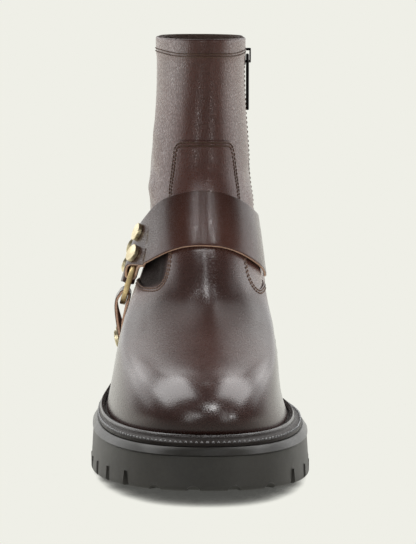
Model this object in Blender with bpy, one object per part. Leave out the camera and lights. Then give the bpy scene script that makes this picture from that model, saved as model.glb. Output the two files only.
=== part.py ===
"""Right-foot harness boot: lug sole, welted leather upper, side zip and three ring straps.

Sizes are in millimetres and are scaled to metres when a mesh is made. The toe points to -Y,
the inner (medial) side of the foot is +X and the boot stands on z = 0.
"""
import math
from collections import namedtuple

import bmesh
import bpy
import numpy as np
from mathutils import Vector

MM = 0.001
GAP = 0.3                  # clearance between touching pieces
CUT_PAST = 4.0             # how far a cutter reaches past the face that it cuts
SHARP_DEG = 35.0           # edges sharper than this are not smoothed

# Driving sizes of the sole
SOLE_HALF_LENGTH = 140.0
FLARE = 1.2                # how far the side wall spreads towards the floor
EDGE_ROUND = 1.2           # soft lower edge of the side wall
LIP_HEIGHT = 3.6
LIP_OUT = 0.4
LIP_BEVEL = 1.8
TOE_SPRING = 8.0
SPRING_START_Y = -42.0
SPRING_POWER = 0.95        # the sole rocks up to the toe almost straight
ARCH_START_Y = -10.0
HEEL_SEAT_Y = 72.0
HEEL_SEAT_THICKNESS = 10.0
HEEL_BREAST_Y = 64.0
HEEL_TUCK = 1.6
LUG_PITCH = 18.5
LUG_PHASE = 0.65           # share of a pitch from the toe tip to the first medial slot
LUG_BACK_Y = -10.0         # the forefoot's slots end here
HEEL_LUG_Y = 74.0          # the heel's slots start here
LUG_SLOT_LENGTH = 13.0
LUG_SLOT_TOP = 1.7
LUG_SLOT_FOOT = 3.6
LUG_DEPTH = 7.0
TOE_NOTCH_DEPTH = 3.2
TOE_NOTCH_REACH = 40.0     # notches this close to the toe tip are shallow
CHANNEL_INSET = 13.5
CHANNEL_WIDTH = 3.4
CHANNEL_DEPTH = 5.0
CHANNEL_BACK_Y = -20.0
CROSS_GROOVES_Y = (-102.0, -76.0, -50.0)

# Driving sizes of the feather line, where upper and welt meet
FEATHER_BALL_Z = 29.5
FEATHER_BALL_Y = -50.0
FEATHER_TOE_RISE = 1.5
FEATHER_TOE_RUN = 81.0
FEATHER_HEEL_RISE = 15.5
FEATHER_RISE_START_Y = -40.0
FEATHER_RISE_END_Y = 125.0

# Driving sizes of the welt and insole
WELT_THICKNESS = 3.2
WELT_INNER = -9.0
BEAD_NEAR = 2.3
BEAD_FAR = 4.6
BEAD_HEIGHT = 1.3
BEAD_UNDERCUT = 0.3
BEAD_SLOPE = 0.9
FLANGE_DROP = 0.9
WELT_INSIDE_LIP = 0.6
INSOLE_THICKNESS = 3.0
INSOLE_CLEAR = 2.0         # room between the insole and the faceted wall

# Driving sizes of the upper
WALL = 2.2
VAMP_STEP = 1.0
COLUMNS = 54
TONGUE_COLUMN = 6          # columns either side of the front that the tongue covers
VAMP_COLUMN = 12           # last column of the vamp on either side
SLIT_COLUMN = 13           # the zip opening lies between this column and the next
FOOT_ROWS = (0.0, 0.45, 0.95, 1.45, 2.0, 2.5, 3.0, 3.55, 4.1)
TONGUE_ROWS = (4.6, 5.1, 5.6, 6.1, 6.65, 7.26)
SHAFT_ROWS = (7.8, 8.4, 9.0)
SLIT_START_ROW = 4
SLIT_WIDTH = 6.2
BACK_ROUND = 2.3
SAG_ROWS = 4.0             # the feather line's dip fades out over these sections

Section = namedtuple(
    "Section",
    "front_x front_y front_z back_x back_y back_z lat_at lat med_at med "
    "waist_lat waist_med heel_at heel turn square")

# Sections of the last from the feather line to the collar. front and back are the points on
# the centre profile; lat and med are the widest places of the outer and inner side, *_at the
# share of the length from the front; turn spreads the columns backwards (degrees); square is
# the power of the front's round, 2 for an ellipse and more for a blunter one.
SECTIONS = (
    Section(4.5, -131, 31, 2.0, 131, 45, .347, 43.2, .25, 40.4, 37.0, 28.5, .860, 32.0, 22, 2.3),
    Section(4.8, -133.5, 40, 2.0, 133.5, 57, .345, 40.6, .25, 37.2, 35.6, 30.0, .855, 33.0, 21, 2.25),
    Section(5.0, -122.5, 53.5, 2.0, 134, 68, .330, 38.0, .25, 35.9, 34.2, 31.0, .850, 32.5, 20, 2.15),
    Section(5.0, -92, 61, 2.0, 133, 79, .320, 35.2, .27, 34.3, 32.4, 31.0, .840, 31.5, 18, 2.05),
    Section(4.0, -44, 74.5, 1.5, 130, 90, .380, 29.8, .36, 31.5, 28.0, 30.5, .820, 29.0, 10, 2.05),
    Section(2.5, -18, 98, 1.2, 126, 104, .420, 25.3, .40, 29.3, 25.0, 28.8, .790, 26.6, 6, 2.05),
    Section(2.5, 10, 125, 1.0, 124, 122, .450, 25.6, .44, 26.4, 25.6, 26.0, .760, 25.4, 1, 2.05),
    Section(2.8, 20, 146, 0.8, 124.5, 142, .460, 24.4, .45, 25.2, 24.4, 25.0, .750, 24.2, 0, 2.05),
    Section(3.5, 23, 173, 0.0, 127, 170, .470, 22.1, .46, 23.3, 22.2, 23.1, .730, 22.4, 0, 2.05),
    Section(5.0, 22, 201, -1.0, 130, 199, .480, 21.7, .46, 23.2, 21.9, 23.0, .720, 22.0, 0, 2.05),
)

# Outline of the sole seen from above, in the same columns (heights are not used)
SOLE = Section(4.0, -SOLE_HALF_LENGTH, 0, 2.0, SOLE_HALF_LENGTH, 0, .357, 50.6, .275, 50.6,
               42.4, 35.0, .855, 38.0, 0, 2.4)
SOLE_COLUMNS = 64

# Driving sizes of the harness
STRAP_THICKNESS = 1.5
STRAP_LIFT = 0.5           # air between a strap and the upper
LAYER_GAP = 0.35
RING_CENTRE = (-34.4, 45.0, 83.0)
RING_LEAN = 16.0           # degrees that the ring leans in at its top
RING_INNER = 16.0
RING_OUTER = 19.0
RING_THICKNESS = 2.8
RING_SEGMENTS = 36
ACROSS = 4                 # faces across a strap
RIVET_RADIUS = 4.5
RIVET_TOP_RADIUS = 3.7
RIVET_HEIGHT = 2.0
RIVET_SIDES = 20

StrapStation = namedtuple("StrapStation", "column_deg low high low_lift high_lift")

# Where the straps lie on the upper: low and high edge in sections of the last, and how far
# each edge is lifted off the leather in mm
INSTEP_STATIONS = (
    StrapStation(78, 3.85, 5.40, 1.2, 0.2),
    StrapStation(60, 4.35, 5.55, 0.7, 0.4),
    StrapStation(40, 4.75, 5.75, 1.3, 1.3),
    StrapStation(20, 5.02, 5.93, 1.3, 1.3),
    StrapStation(0, 5.10, 6.00, 1.3, 1.3),
    StrapStation(-20, 5.04, 5.94, 1.3, 1.3),
    StrapStation(-40, 4.80, 5.78, 1.7, 1.4),
    StrapStation(-55, 4.48, 5.52, 3.0, 2.4),
)
HEEL_STATIONS = (
    StrapStation(106, 3.80, 4.75, 0.0, 0.0),
    StrapStation(125, 3.75, 4.75, 0.0, 0.0),
    StrapStation(150, 3.72, 4.90, 0.0, 0.0),
    StrapStation(180, 3.70, 5.00, 0.0, 0.0),
    StrapStation(210, 3.72, 4.90, 0.0, 0.0),
    StrapStation(228, 3.70, 4.85, 0.3, 0.3),
    StrapStation(243, 3.66, 4.80, 1.0, 1.0),
    StrapStation(258, 3.62, 4.76, 2.4, 2.4),
)
ArchStation = namedtuple("ArchStation", "row lift")
ARCH_STATIONS = (ArchStation(0.25, 0.6), ArchStation(0.5, 1.6), ArchStation(0.85, 3.2))
STRAP_COLUMN_STEP = 5.0    # degrees between the cross rows of a strap

StrapEnd = namedtuple("StrapEnd", "heading_deg width")
INSTEP_END = StrapEnd(140.0, 24.0)   # heading from the ring's centre, from the heel upwards
HEEL_END = StrapEnd(2.0, 20.0)
ARCH_END = StrapEnd(268.0, 19.0)

# Driving sizes of the zip
ZIP_COLUMN = 90.0
TAPE_HALF = 7.0
CHAIN_HALF = 2.2
TAPE_FACE = -(WALL + 0.35)
TAPE_BACK = TAPE_FACE - 0.9
CHAIN_FACE = -1.1
ZIP_LOW_ROW = 2.06
ZIP_HIGH_ROW = 8.94
ZIP_STEPS = 15
SLIDER_ROW = 8.66
SLIDER_SIZE = (1.8, 5.2, 10.0)       # out of the leather, along the foot, up
SLIDER_FACE = 1.0                    # how far its face stands out of the leather
CROWN_SIZE = (3.2, 1.8, 7.6)
CROWN_WINDOW = (2.0, 5.0)            # room under the crown: height and length
PIN_OUT = 1.0                        # centre of the pull's bar above the slider's face
PULL_SIZE = (1.5, 6.4, 29.0)
PULL_EYE = (3.0, 4.6)                # opening for the crown: width and length
PULL_BAR = 1.5
PULL_SLOT = (2.6, 7.0)
PULL_SLOT_FROM_END = 2.4

Finish = namedtuple("Finish", "colour roughness metallic")
FINISHES = {
    "upper_leather": Finish((0.060, 0.027, 0.022), 0.38, 0.0),
    "strap_leather": Finish((0.075, 0.030, 0.024), 0.33, 0.0),
    "sole_rubber": Finish((0.030, 0.026, 0.023), 0.62, 0.0),
    "heel_rubber": Finish((0.030, 0.026, 0.023), 0.62, 0.0),
    "welt_leather": Finish((0.028, 0.020, 0.017), 0.40, 0.0),
    "insole_leather": Finish((0.140, 0.095, 0.070), 0.70, 0.0),
    "zip_tape": Finish((0.012, 0.011, 0.011), 0.75, 0.0),
    "zip_metal": Finish((0.030, 0.028, 0.027), 0.32, 0.9),
    "aged_brass": Finish((0.420, 0.290, 0.120), 0.32, 1.0),
}


def spline_table(rows):
    """Natural cubic spline through the columns of a table, one knot for each row."""
    values = np.array(rows, dtype=float)
    count = len(values)
    matrix = np.eye(count)
    right = np.zeros_like(values)
    for k in range(1, count - 1):
        matrix[k, k - 1:k + 2] = (1.0, 4.0, 1.0)
        right[k] = 6.0 * (values[k + 1] - 2.0 * values[k] + values[k - 1])
    bends = np.linalg.solve(matrix, right.reshape(count, -1))
    return values, bends.reshape(values.shape)


def spline_at(table, position):
    """Values of every column at a position counted in rows."""
    values, bends = table
    position = np.asarray(position, dtype=float)
    row = np.clip(np.floor(position).astype(int), 0, len(values) - 2)
    share = (position - row).reshape(position.shape + (1,) * (values.ndim - 1))
    line = (1 - share) * values[row] + share * values[row + 1]
    pull = (2 - share) * bends[row] + (1 + share) * bends[row + 1]
    return line - share * (1 - share) / 6.0 * pull


def smoothstep(low, high, value):
    share = np.clip((value - low) / (high - low), 0.0, 1.0)
    return share * share * (3.0 - 2.0 * share)


def feather_z(y):
    """Height of the feather line: low at the ball, rising to toe and heel."""
    toe = np.clip((FEATHER_BALL_Y - y) / FEATHER_TOE_RUN, 0.0, None)
    heel = smoothstep(FEATHER_RISE_START_Y, FEATHER_RISE_END_Y, y)
    return FEATHER_BALL_Z + FEATHER_TOE_RISE * toe ** 2 + FEATHER_HEEL_RISE * heel


def sole_top_z(y):
    return feather_z(y) - WELT_THICKNESS - 2 * GAP


def sole_bottom_z(y):
    """Underside: flat under the ball, springing up at the toe and rising through the arch."""
    spring = np.clip((SPRING_START_Y - y) / (SOLE_HALF_LENGTH + SPRING_START_Y), 0.0, None)
    seat = sole_top_z(y) - HEEL_SEAT_THICKNESS
    return TOE_SPRING * spring ** SPRING_POWER + seat * smoothstep(ARCH_START_Y, HEEL_SEAT_Y, y)


def side_width(share, square, ball_at, ball, waist, heel_at, heel):
    """Half width along one side: round toe cap, ball, waist, heel and round heel cap."""
    waist_at = 0.5 * (ball_at + heel_at)
    toe = np.clip(1.0 - share / ball_at, 0.0, 1.0)
    toe_cap = ball * (1.0 - toe ** square) ** (1.0 / square)
    back = np.clip((share - heel_at) / (1.0 - heel_at), 0.0, 1.0)
    heel_cap = heel * (1.0 - back ** BACK_ROUND) ** (1.0 / BACK_ROUND)
    to_waist = ball + (waist - ball) * smoothstep(ball_at, waist_at, share)
    to_heel = waist + (heel - waist) * smoothstep(waist_at, heel_at, share)
    width = np.where(share < waist_at, to_waist, to_heel)
    return np.where(share < ball_at, toe_cap, np.where(share > heel_at, heel_cap, width))


def section_xy(section, angle):
    """Plan of a section: angle 0 is the front, half a turn the back, positive is medial."""
    angle = np.mod(angle + np.pi, 2 * np.pi) - np.pi
    turned = np.abs(angle) + np.radians(section.turn) * np.sin(np.abs(angle))
    share = 0.5 * (1.0 - np.cos(turned))

    def middle(at):
        return section.front_x + (section.back_x - section.front_x) * at

    medial = side_width(share, section.square, section.med_at, section.med - middle(section.med_at),
                        section.waist_med - middle(0.5), section.heel_at, section.heel)
    lateral = side_width(share, section.square, section.lat_at, section.lat + middle(section.lat_at),
                         section.waist_lat + middle(0.5), section.heel_at, section.heel)
    x = middle(share) + np.where(angle >= 0, medial, -lateral)
    return x, section.front_y + (section.back_y - section.front_y) * share, share


LAST = spline_table(SECTIONS)


def upper_base(angle, row):
    """Point of the last: the section at this row, tilted between its front and back point."""
    angle, row = np.broadcast_arrays(np.asarray(angle, float), np.asarray(row, float))
    section = Section(*np.moveaxis(spline_at(LAST, row), -1, 0))
    x, y, share = section_xy(section, angle)
    foot = SECTIONS[0]
    flat = foot.front_z + (foot.back_z - foot.front_z) * share
    foot_y = foot.front_y + (foot.back_y - foot.front_y) * share
    fade = np.clip(1.0 - row / SAG_ROWS, 0.0, 1.0) ** 2
    z = section.front_z + (section.back_z - section.front_z) * share
    return np.stack([x, y, z + fade * (feather_z(foot_y) - flat)], axis=-1)


def unit(vectors):
    return vectors / np.linalg.norm(vectors, axis=-1, keepdims=True)


def upper_point(angle, row, out=0.0):
    """Point at a distance out of the last's surface, along its outward normal."""
    step = 0.01
    along = upper_base(angle + step, row) - upper_base(angle - step, row)
    up = upper_base(angle, row + step) - upper_base(angle, row - step)
    normal = unit(np.cross(along, up))
    return upper_base(angle, row) + normal * np.asarray(out)[..., None]


def angle_per_mm(angle, row):
    """Column angle that covers a millimetre along a section at this place."""
    step = 0.02
    reach = upper_base(angle + step, row) - upper_base(angle - step, row)
    return 2 * step / np.linalg.norm(reach, axis=-1)


def outline(section, columns, out):
    """Closed plan outline of a section, moved outwards, one point for each column."""
    angle = 2 * np.pi * np.arange(columns) / columns
    step = 0.005
    x, y, _ = section_xy(section, angle)
    x_after, y_after, _ = section_xy(section, angle + step)
    x_before, y_before, _ = section_xy(section, angle - step)
    normal = unit(np.stack([y_after - y_before, x_before - x_after], axis=-1))
    return np.stack([x, y], axis=-1) + out * normal


def ring_at(plan, height):
    """Lifts a plan outline to a height, which is a function of y."""
    return np.column_stack([plan, height(plan[:, 1])])


materials = {}


def finish(name):
    """One material for each finish, made on first use."""
    if name not in materials:
        material = bpy.data.materials.new(name)
        material.use_nodes = True
        shader = material.node_tree.nodes["Principled BSDF"]
        shader.inputs["Base Color"].default_value = (*FINISHES[name].colour, 1.0)
        shader.inputs["Roughness"].default_value = FINISHES[name].roughness
        shader.inputs["Metallic"].default_value = FINISHES[name].metallic
        materials[name] = material
    return materials[name]


def add_mesh(name, points, faces, collection, finish_name=None):
    """Object from points in millimetres, with its faces turned outwards."""
    mesh = bpy.data.meshes.new(name)
    mesh.from_pydata((np.asarray(points) * MM).tolist(), [], faces)
    work = bmesh.new()
    work.from_mesh(mesh)
    bmesh.ops.recalc_face_normals(work, faces=work.faces)
    work.to_mesh(mesh)
    work.free()
    mesh.shade_smooth()
    mesh.set_sharp_from_angle(angle=math.radians(SHARP_DEG))
    made = bpy.data.objects.new(name, mesh)
    collection.objects.link(made)
    if finish_name:
        mesh.materials.append(finish(finish_name))
    return made


def loop_faces(count, rings):
    """Quads between neighbouring closed rings of count points."""
    faces = []
    for ring in range(rings - 1):
        for k in range(count):
            after = (k + 1) % count
            faces.append((ring * count + k, ring * count + after,
                          (ring + 1) * count + after, (ring + 1) * count + k))
    return faces


def cap_faces(first, order):
    """Strips across a ring, pairing its points from both ends of the order."""
    count = len(order)
    faces = []
    for k in range(count // 2):
        corners = [order[k], order[k + 1], order[count - 2 - k], order[count - 1 - k]]
        distinct = list(dict.fromkeys(corners))
        if len(distinct) > 2:
            faces.append([first + corner for corner in distinct])
    return faces


def stacked_rings(name, rings, order, collection, finish_name=None):
    """Solid between closed rings, closed by strips across the first and last ring."""
    count = len(rings[0])
    faces = loop_faces(count, len(rings))
    faces += cap_faces(0, order)
    faces += cap_faces((len(rings) - 1) * count, order)
    return add_mesh(name, np.concatenate(rings), faces, collection, finish_name)


def symmetric_order(count):
    """Ring points from the front point down the medial side to it again."""
    return list(range(count)) + [0]


def swept_ring(name, profiles, collection, finish_name):
    """Closed solid from a closed profile carried round a closed path."""
    stations, count, _ = profiles.shape
    faces = []
    for i in range(stations):
        after = (i + 1) % stations
        for k in range(count):
            following = (k + 1) % count
            faces.append((i * count + k, after * count + k,
                          after * count + following, i * count + following))
    return add_mesh(name, profiles.reshape(-1, 3), faces, collection, finish_name)


def plate_between(name, outer, inner, collection, finish_name):
    """Closed sheet between two grids of the same shape."""
    rows, columns, _ = outer.shape
    half = rows * columns

    def at(i, j):
        return i * columns + j

    faces = []
    for i in range(rows - 1):
        for j in range(columns - 1):
            quad = (at(i, j), at(i, j + 1), at(i + 1, j + 1), at(i + 1, j))
            faces.append(quad)
            faces.append(tuple(half + corner for corner in reversed(quad)))
    rim = [at(0, j) for j in range(columns)]
    rim += [at(i, columns - 1) for i in range(1, rows)]
    rim += [at(rows - 1, j) for j in range(columns - 2, -1, -1)]
    rim += [at(i, 0) for i in range(rows - 2, 0, -1)]
    for k, corner in enumerate(rim):
        after = rim[(k + 1) % len(rim)]
        faces.append((corner, half + corner, half + after, after))
    points = np.concatenate([outer.reshape(-1, 3), inner.reshape(-1, 3)])
    return add_mesh(name, points, faces, collection, finish_name)


def boolean(target, cutter, operation):
    """Applies an exact Boolean straight away, so the mesh holds the result."""
    modifier = target.modifiers.new(operation.title(), "BOOLEAN")
    modifier.operation = operation
    modifier.solver = "EXACT"
    modifier.object = cutter
    graph = bpy.context.evaluated_depsgraph_get()
    mesh = bpy.data.meshes.new_from_object(target.evaluated_get(graph))
    target.modifiers.clear()
    old = target.data
    target.data = mesh
    mesh.name = target.name
    bpy.data.meshes.remove(old)


def as_cutter(made):
    made.hide_render = True
    made.display_type = "WIRE"
    return made


def slot_cutter(name, plan, centres, base_z, depths, collection):
    """Tapered slots pointing inwards from places on an outline, wide at the floor."""
    points = []
    faces = []
    for (index, depth) in zip(centres, depths):
        here = plan[index]
        along = unit(plan[(index + 1) % len(plan)] - plan[index - 1])
        inward = np.array([-along[1], along[0]])
        floor = float(base_z(here[1]))
        first = len(points)
        for z, half in ((floor - CUT_PAST, LUG_SLOT_FOOT / 2), (floor + depth, LUG_SLOT_TOP / 2)):
            for reach, side in zip((-CUT_PAST, -CUT_PAST, LUG_SLOT_LENGTH, LUG_SLOT_LENGTH),
                                   (-1, 1, 1, -1)):
                spot = here + inward * reach + along * side * half
                points.append((spot[0], spot[1], z))
        faces.append((first, first + 1, first + 2, first + 3))
        faces.append((first + 4, first + 5, first + 6, first + 7))
        for k in range(4):
            after = (k + 1) % 4
            faces.append((first + k, first + after, first + 4 + after, first + 4 + k))
    return as_cutter(add_mesh(name, points, faces, collection))


def arc_length(plan):
    """Distance along an outline from its first point, negative on the lateral half."""
    steps = np.linalg.norm(np.roll(plan, -1, axis=0) - plan, axis=1)
    reached = np.concatenate([[0.0], np.cumsum(steps)[:-1]])
    total = steps.sum()
    return np.where(reached > total / 2, reached - total, reached)


def lug_places(plan, keep):
    """Slot places every pitch along an outline, measured both ways from the toe tip."""
    length = arc_length(plan)
    places = []
    count = int(length.max() // LUG_PITCH)
    for k in range(-count, count):
        index = int(np.argmin(np.abs(length - (k + LUG_PHASE) * LUG_PITCH)))
        if keep(plan[index, 1]):
            places.append((index, abs(length[index])))
    return places


def build_outsole(parts, cutters):
    def offset_ring(out, height):
        return ring_at(outline(SOLE, SOLE_COLUMNS, out), height)

    rings = [
        offset_ring(FLARE - EDGE_ROUND, sole_bottom_z),
        offset_ring(FLARE, lambda y: sole_bottom_z(y) + EDGE_ROUND),
        offset_ring(0.0, lambda y: sole_top_z(y) - LIP_HEIGHT - LIP_OUT),
        offset_ring(LIP_OUT, lambda y: sole_top_z(y) - LIP_HEIGHT),
        offset_ring(-LIP_BEVEL, sole_top_z),
    ]
    outsole = stacked_rings("outsole", rings, symmetric_order(SOLE_COLUMNS), parts, "sole_rubber")

    fine = outline(SOLE, 8 * SOLE_COLUMNS, FLARE)
    places = lug_places(fine, lambda y: y < LUG_BACK_Y)
    depths = [TOE_NOTCH_DEPTH if reach < TOE_NOTCH_REACH else LUG_DEPTH for _, reach in places]
    slots = slot_cutter("outsole_slots", fine, [index for index, _ in places],
                        sole_bottom_z, depths, cutters)

    inner = outline(SOLE, SOLE_COLUMNS, -CHANNEL_INSET - CHANNEL_WIDTH)
    outer = outline(SOLE, SOLE_COLUMNS, -CHANNEL_INSET)
    channel_profiles = []
    for near, far in zip(inner, outer):
        near = np.array([near[0], min(near[1], CHANNEL_BACK_Y)])
        far = np.array([far[0], min(far[1], CHANNEL_BACK_Y + CHANNEL_WIDTH)])
        channel_profiles.append([
            (*near, -CUT_PAST), (*far, -CUT_PAST),
            (*far, sole_bottom_z(far[1]) + CHANNEL_DEPTH),
            (*near, sole_bottom_z(near[1]) + CHANNEL_DEPTH)])
    keep = inner[:, 1] < CHANNEL_BACK_Y
    profiles = np.array(channel_profiles)[keep | np.roll(keep, 1) | np.roll(keep, -1)]
    channel = as_cutter(swept_ring("outsole_channel", profiles, cutters, None))
    boolean(outsole, channel, "DIFFERENCE")
    boolean(outsole, slots, "DIFFERENCE")

    half = SOLE_COLUMNS // 2 + 1
    for number, y in enumerate(CROSS_GROOVES_Y, start=1):
        right = np.interp(y, inner[:half, 1], inner[:half, 0]) + CHANNEL_WIDTH / 2
        left = np.interp(y, inner[::-1][:half, 1], inner[::-1][:half, 0]) - CHANNEL_WIDTH / 2
        height = CUT_PAST + float(sole_bottom_z(y)) + CHANNEL_DEPTH
        groove = box(f"outsole_groove_{number}", (right - left, CHANNEL_WIDTH, height),
                     ((right + left) / 2, y, height / 2 - CUT_PAST), cutters)
        boolean(outsole, as_cutter(groove), "DIFFERENCE")


def build_heel(parts, cutters):
    def heel_ring(out, height):
        plan = outline(SOLE, 2 * SOLE_COLUMNS, out)
        return ring_at(plan[plan[:, 1] > HEEL_BREAST_Y], height)

    rings = [
        heel_ring(-HEEL_TUCK, lambda y: sole_bottom_z(y) - GAP),
        heel_ring(FLARE - HEEL_TUCK / 2, lambda y: 0 * y + EDGE_ROUND),
        heel_ring(FLARE - EDGE_ROUND - HEEL_TUCK / 2, lambda y: 0 * y),
    ]
    count = min(len(ring) for ring in rings)
    rings = [ring[(len(ring) - count) // 2:][:count] for ring in rings]
    heel = stacked_rings("heel", rings, list(range(count)), parts, "heel_rubber")
    fine = outline(SOLE, 8 * SOLE_COLUMNS, FLARE)
    places = lug_places(fine, lambda y: y > HEEL_LUG_Y)
    slots = slot_cutter("heel_slots", fine, [index for index, _ in places],
                        lambda y: 0.0, [LUG_DEPTH] * len(places), cutters)
    boolean(heel, slots, "DIFFERENCE")


def build_welt(parts):
    """Strip on the sole's top: an inner flange under the upper, a bead and a stitched shelf."""
    foot = SECTIONS[0]._replace(turn=0)
    edge = outline(SOLE, SOLE_COLUMNS, -LIP_BEVEL - WELT_INSIDE_LIP)
    bottom = -GAP - WELT_THICKNESS
    shape = (
        (WELT_INNER, bottom), (WELT_INNER, -GAP), (BEAD_NEAR - BEAD_UNDERCUT, -GAP),
        (BEAD_NEAR, BEAD_HEIGHT), (BEAD_FAR - BEAD_SLOPE, BEAD_HEIGHT),
        (BEAD_FAR, -FLANGE_DROP))
    profiles = []
    for out, rise in shape:
        plan = outline(foot, SOLE_COLUMNS, out)
        profiles.append(np.column_stack([plan, feather_z(plan[:, 1]) + rise]))
    for rise in (-FLANGE_DROP, bottom):
        profiles.append(np.column_stack([edge, feather_z(edge[:, 1]) + rise]))
    swept_ring("welt", np.stack(profiles, axis=1), parts, "welt_leather")


def build_insole(parts):
    foot = SECTIONS[0]._replace(turn=0)
    plan = outline(foot, SOLE_COLUMNS, -WALL - INSOLE_CLEAR)
    rings = [ring_at(plan, feather_z), ring_at(plan, lambda y: feather_z(y) + INSOLE_THICKNESS)]
    stacked_rings("insole", rings, symmetric_order(SOLE_COLUMNS), parts, "insole_leather")


def build_upper(parts):
    """Hollow wall: columns round the foot, rows from feather line to collar.

    Cells of the vamp and its tongue stand one step proud, and the cells of the zip opening
    are left out.
    """
    rows = np.array(FOOT_ROWS + TONGUE_ROWS + SHAFT_ROWS)
    column = np.mod(np.arange(COLUMNS) + COLUMNS // 2, COLUMNS) - COLUMNS // 2
    angle = 2 * np.pi * column / COLUMNS
    grid_angle, grid_row = np.meshgrid(angle, rows)
    zip_angle = math.radians(ZIP_COLUMN)
    for side, place in ((-1, SLIT_COLUMN), (1, SLIT_COLUMN + 1)):
        grid_angle[:, place] = zip_angle + side * SLIT_WIDTH / 2 * angle_per_mm(zip_angle, rows)
    layers = [upper_point(grid_angle, grid_row, np.full(grid_row.shape, out))
              for out in (0.0, VAMP_STEP, -WALL)]
    for layer in layers:
        layer[0, :, 2] = feather_z(layer[0, :, 1])
    low, high, inner = range(3)
    last_foot = len(FOOT_ROWS) - 1
    last_tongue = last_foot + len(TONGUE_ROWS)

    def present(j, i):
        if not 0 <= j < len(rows) - 1:
            return False
        return not (column[i % COLUMNS] == SLIT_COLUMN and j >= SLIT_START_ROW)

    def raised(j, i):
        side = column[i % COLUMNS]
        if j < last_foot:
            return -VAMP_COLUMN <= side < VAMP_COLUMN
        return j < last_tongue and -TONGUE_COLUMN <= side < TONGUE_COLUMN

    used = {}

    def vertex(layer, j, i):
        return used.setdefault((layer, j, i % COLUMNS), len(used))

    faces = []
    for j in range(len(rows) - 1):
        for i in range(COLUMNS):
            if not present(j, i):
                continue
            top = high if raised(j, i) else low
            corners = ((j, i), (j, i + 1), (j + 1, i + 1), (j + 1, i))
            faces.append([vertex(top, *corner) for corner in corners])
            faces.append([vertex(inner, *corner) for corner in reversed(corners)])
            neighbours = ((j - 1, i), (j, i + 1), (j + 1, i), (j, i - 1))
            for k, beside in enumerate(neighbours):
                start, end = corners[k], corners[(k + 1) % 4]
                edge = not present(*beside)
                if top == high and (edge or not raised(*beside)):
                    faces.append([vertex(high, *end), vertex(high, *start),
                                  vertex(low, *start), vertex(low, *end)])
                if edge:
                    faces.append([vertex(low, *end), vertex(low, *start),
                                  vertex(inner, *start), vertex(inner, *end)])
    points = np.zeros((len(used), 3))
    for (layer, j, i), index in used.items():
        points[index] = layers[layer][j, i]
    add_mesh("upper", points, faces, parts, "upper_leather")


def build_zip(parts):
    """Tape behind the opening with the closed chain standing forward in it."""
    rows = np.linspace(ZIP_LOW_ROW, ZIP_HIGH_ROW, ZIP_STEPS)
    centre = math.radians(ZIP_COLUMN)
    shape = ((-TAPE_HALF, TAPE_BACK), (TAPE_HALF, TAPE_BACK), (TAPE_HALF, TAPE_FACE),
             (CHAIN_HALF, TAPE_FACE), (CHAIN_HALF, CHAIN_FACE), (-CHAIN_HALF, CHAIN_FACE),
             (-CHAIN_HALF, TAPE_FACE), (-TAPE_HALF, TAPE_FACE))
    per_mm = angle_per_mm(centre, rows)
    sides = [upper_point(centre + across * per_mm, rows, np.full(rows.shape, out))
             for across, out in shape]
    profiles = np.stack(sides, axis=1)
    count = len(shape)
    faces = loop_faces(count, ZIP_STEPS)
    tape = (0, 1, 2, 3, 6, 7)
    chain = (3, 4, 5, 6)
    for first in (0, (ZIP_STEPS - 1) * count):
        faces.append([first + k for k in tape])
        faces.append([first + k for k in chain])
    add_mesh("zip", profiles.reshape(-1, 3), faces, parts, "zip_tape")


def box(name, size, centre, collection, finish_name=None, rounding=0.0):
    """Box primitive with its size applied, and rounded edges where asked."""
    work = bmesh.new()
    bmesh.ops.create_cube(work, size=1.0)
    bmesh.ops.scale(work, vec=[side * MM for side in size], verts=work.verts)
    if rounding:
        bmesh.ops.bevel(work, geom=work.edges, offset=rounding * MM, segments=2,
                        profile=0.5, affect="EDGES")
    bmesh.ops.translate(work, vec=[place * MM for place in centre], verts=work.verts)
    mesh = bpy.data.meshes.new(name)
    work.to_mesh(mesh)
    work.free()
    made = bpy.data.objects.new(name, mesh)
    collection.objects.link(made)
    if finish_name:
        mesh.materials.append(finish(finish_name))
    return made


def build_slider_and_pull(parts, cutters):
    """Slider in the zip opening with a crown, and the pull whose bar lies under the crown."""
    spot = upper_base(math.radians(ZIP_COLUMN), SLIDER_ROW)
    face = spot[0] + SLIDER_FACE
    body_centre = (face - SLIDER_SIZE[0] / 2, spot[1], spot[2])
    slider = box("zip_slider", SLIDER_SIZE, body_centre, parts, "zip_metal", 0.5)
    crown_low = face - 0.4
    crown_centre = (crown_low + CROWN_SIZE[0] / 2, spot[1], spot[2])
    crown = as_cutter(box("slider_crown", CROWN_SIZE, crown_centre, cutters, None, 0.4))
    window_size = (CROWN_WINDOW[0] + 2.0, CROWN_SIZE[1] + 2.0, CROWN_WINDOW[1])
    window_centre = (face + CROWN_WINDOW[0] - window_size[0] / 2, spot[1], spot[2])
    window = as_cutter(box("slider_window", window_size, window_centre, cutters))
    boolean(crown, window, "DIFFERENCE")
    boolean(slider, crown, "UNION")

    axis = (face + PIN_OUT, spot[1], spot[2])
    hang = -PULL_SIZE[2] / 2 + PULL_BAR / 2
    pull = box("zip_pull", PULL_SIZE, (0.0, 0.0, hang), parts, "zip_metal", 0.45)
    eye_size = (PULL_SIZE[0] + 2.0, PULL_EYE[0], PULL_EYE[1])
    eye = as_cutter(box("pull_eye", eye_size, (0, 0, -PULL_BAR / 2 - PULL_EYE[1] / 2), cutters))
    slot_z = hang - PULL_SIZE[2] / 2 + PULL_SLOT_FROM_END + PULL_SLOT[1] / 2
    slot_size = (PULL_SIZE[0] + 2.0, PULL_SLOT[0], PULL_SLOT[1])
    slot = as_cutter(box("pull_slot", slot_size, (0, 0, slot_z), cutters))
    boolean(pull, eye, "DIFFERENCE")
    boolean(pull, slot, "DIFFERENCE")
    pull.location = [place * MM for place in axis]


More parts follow.
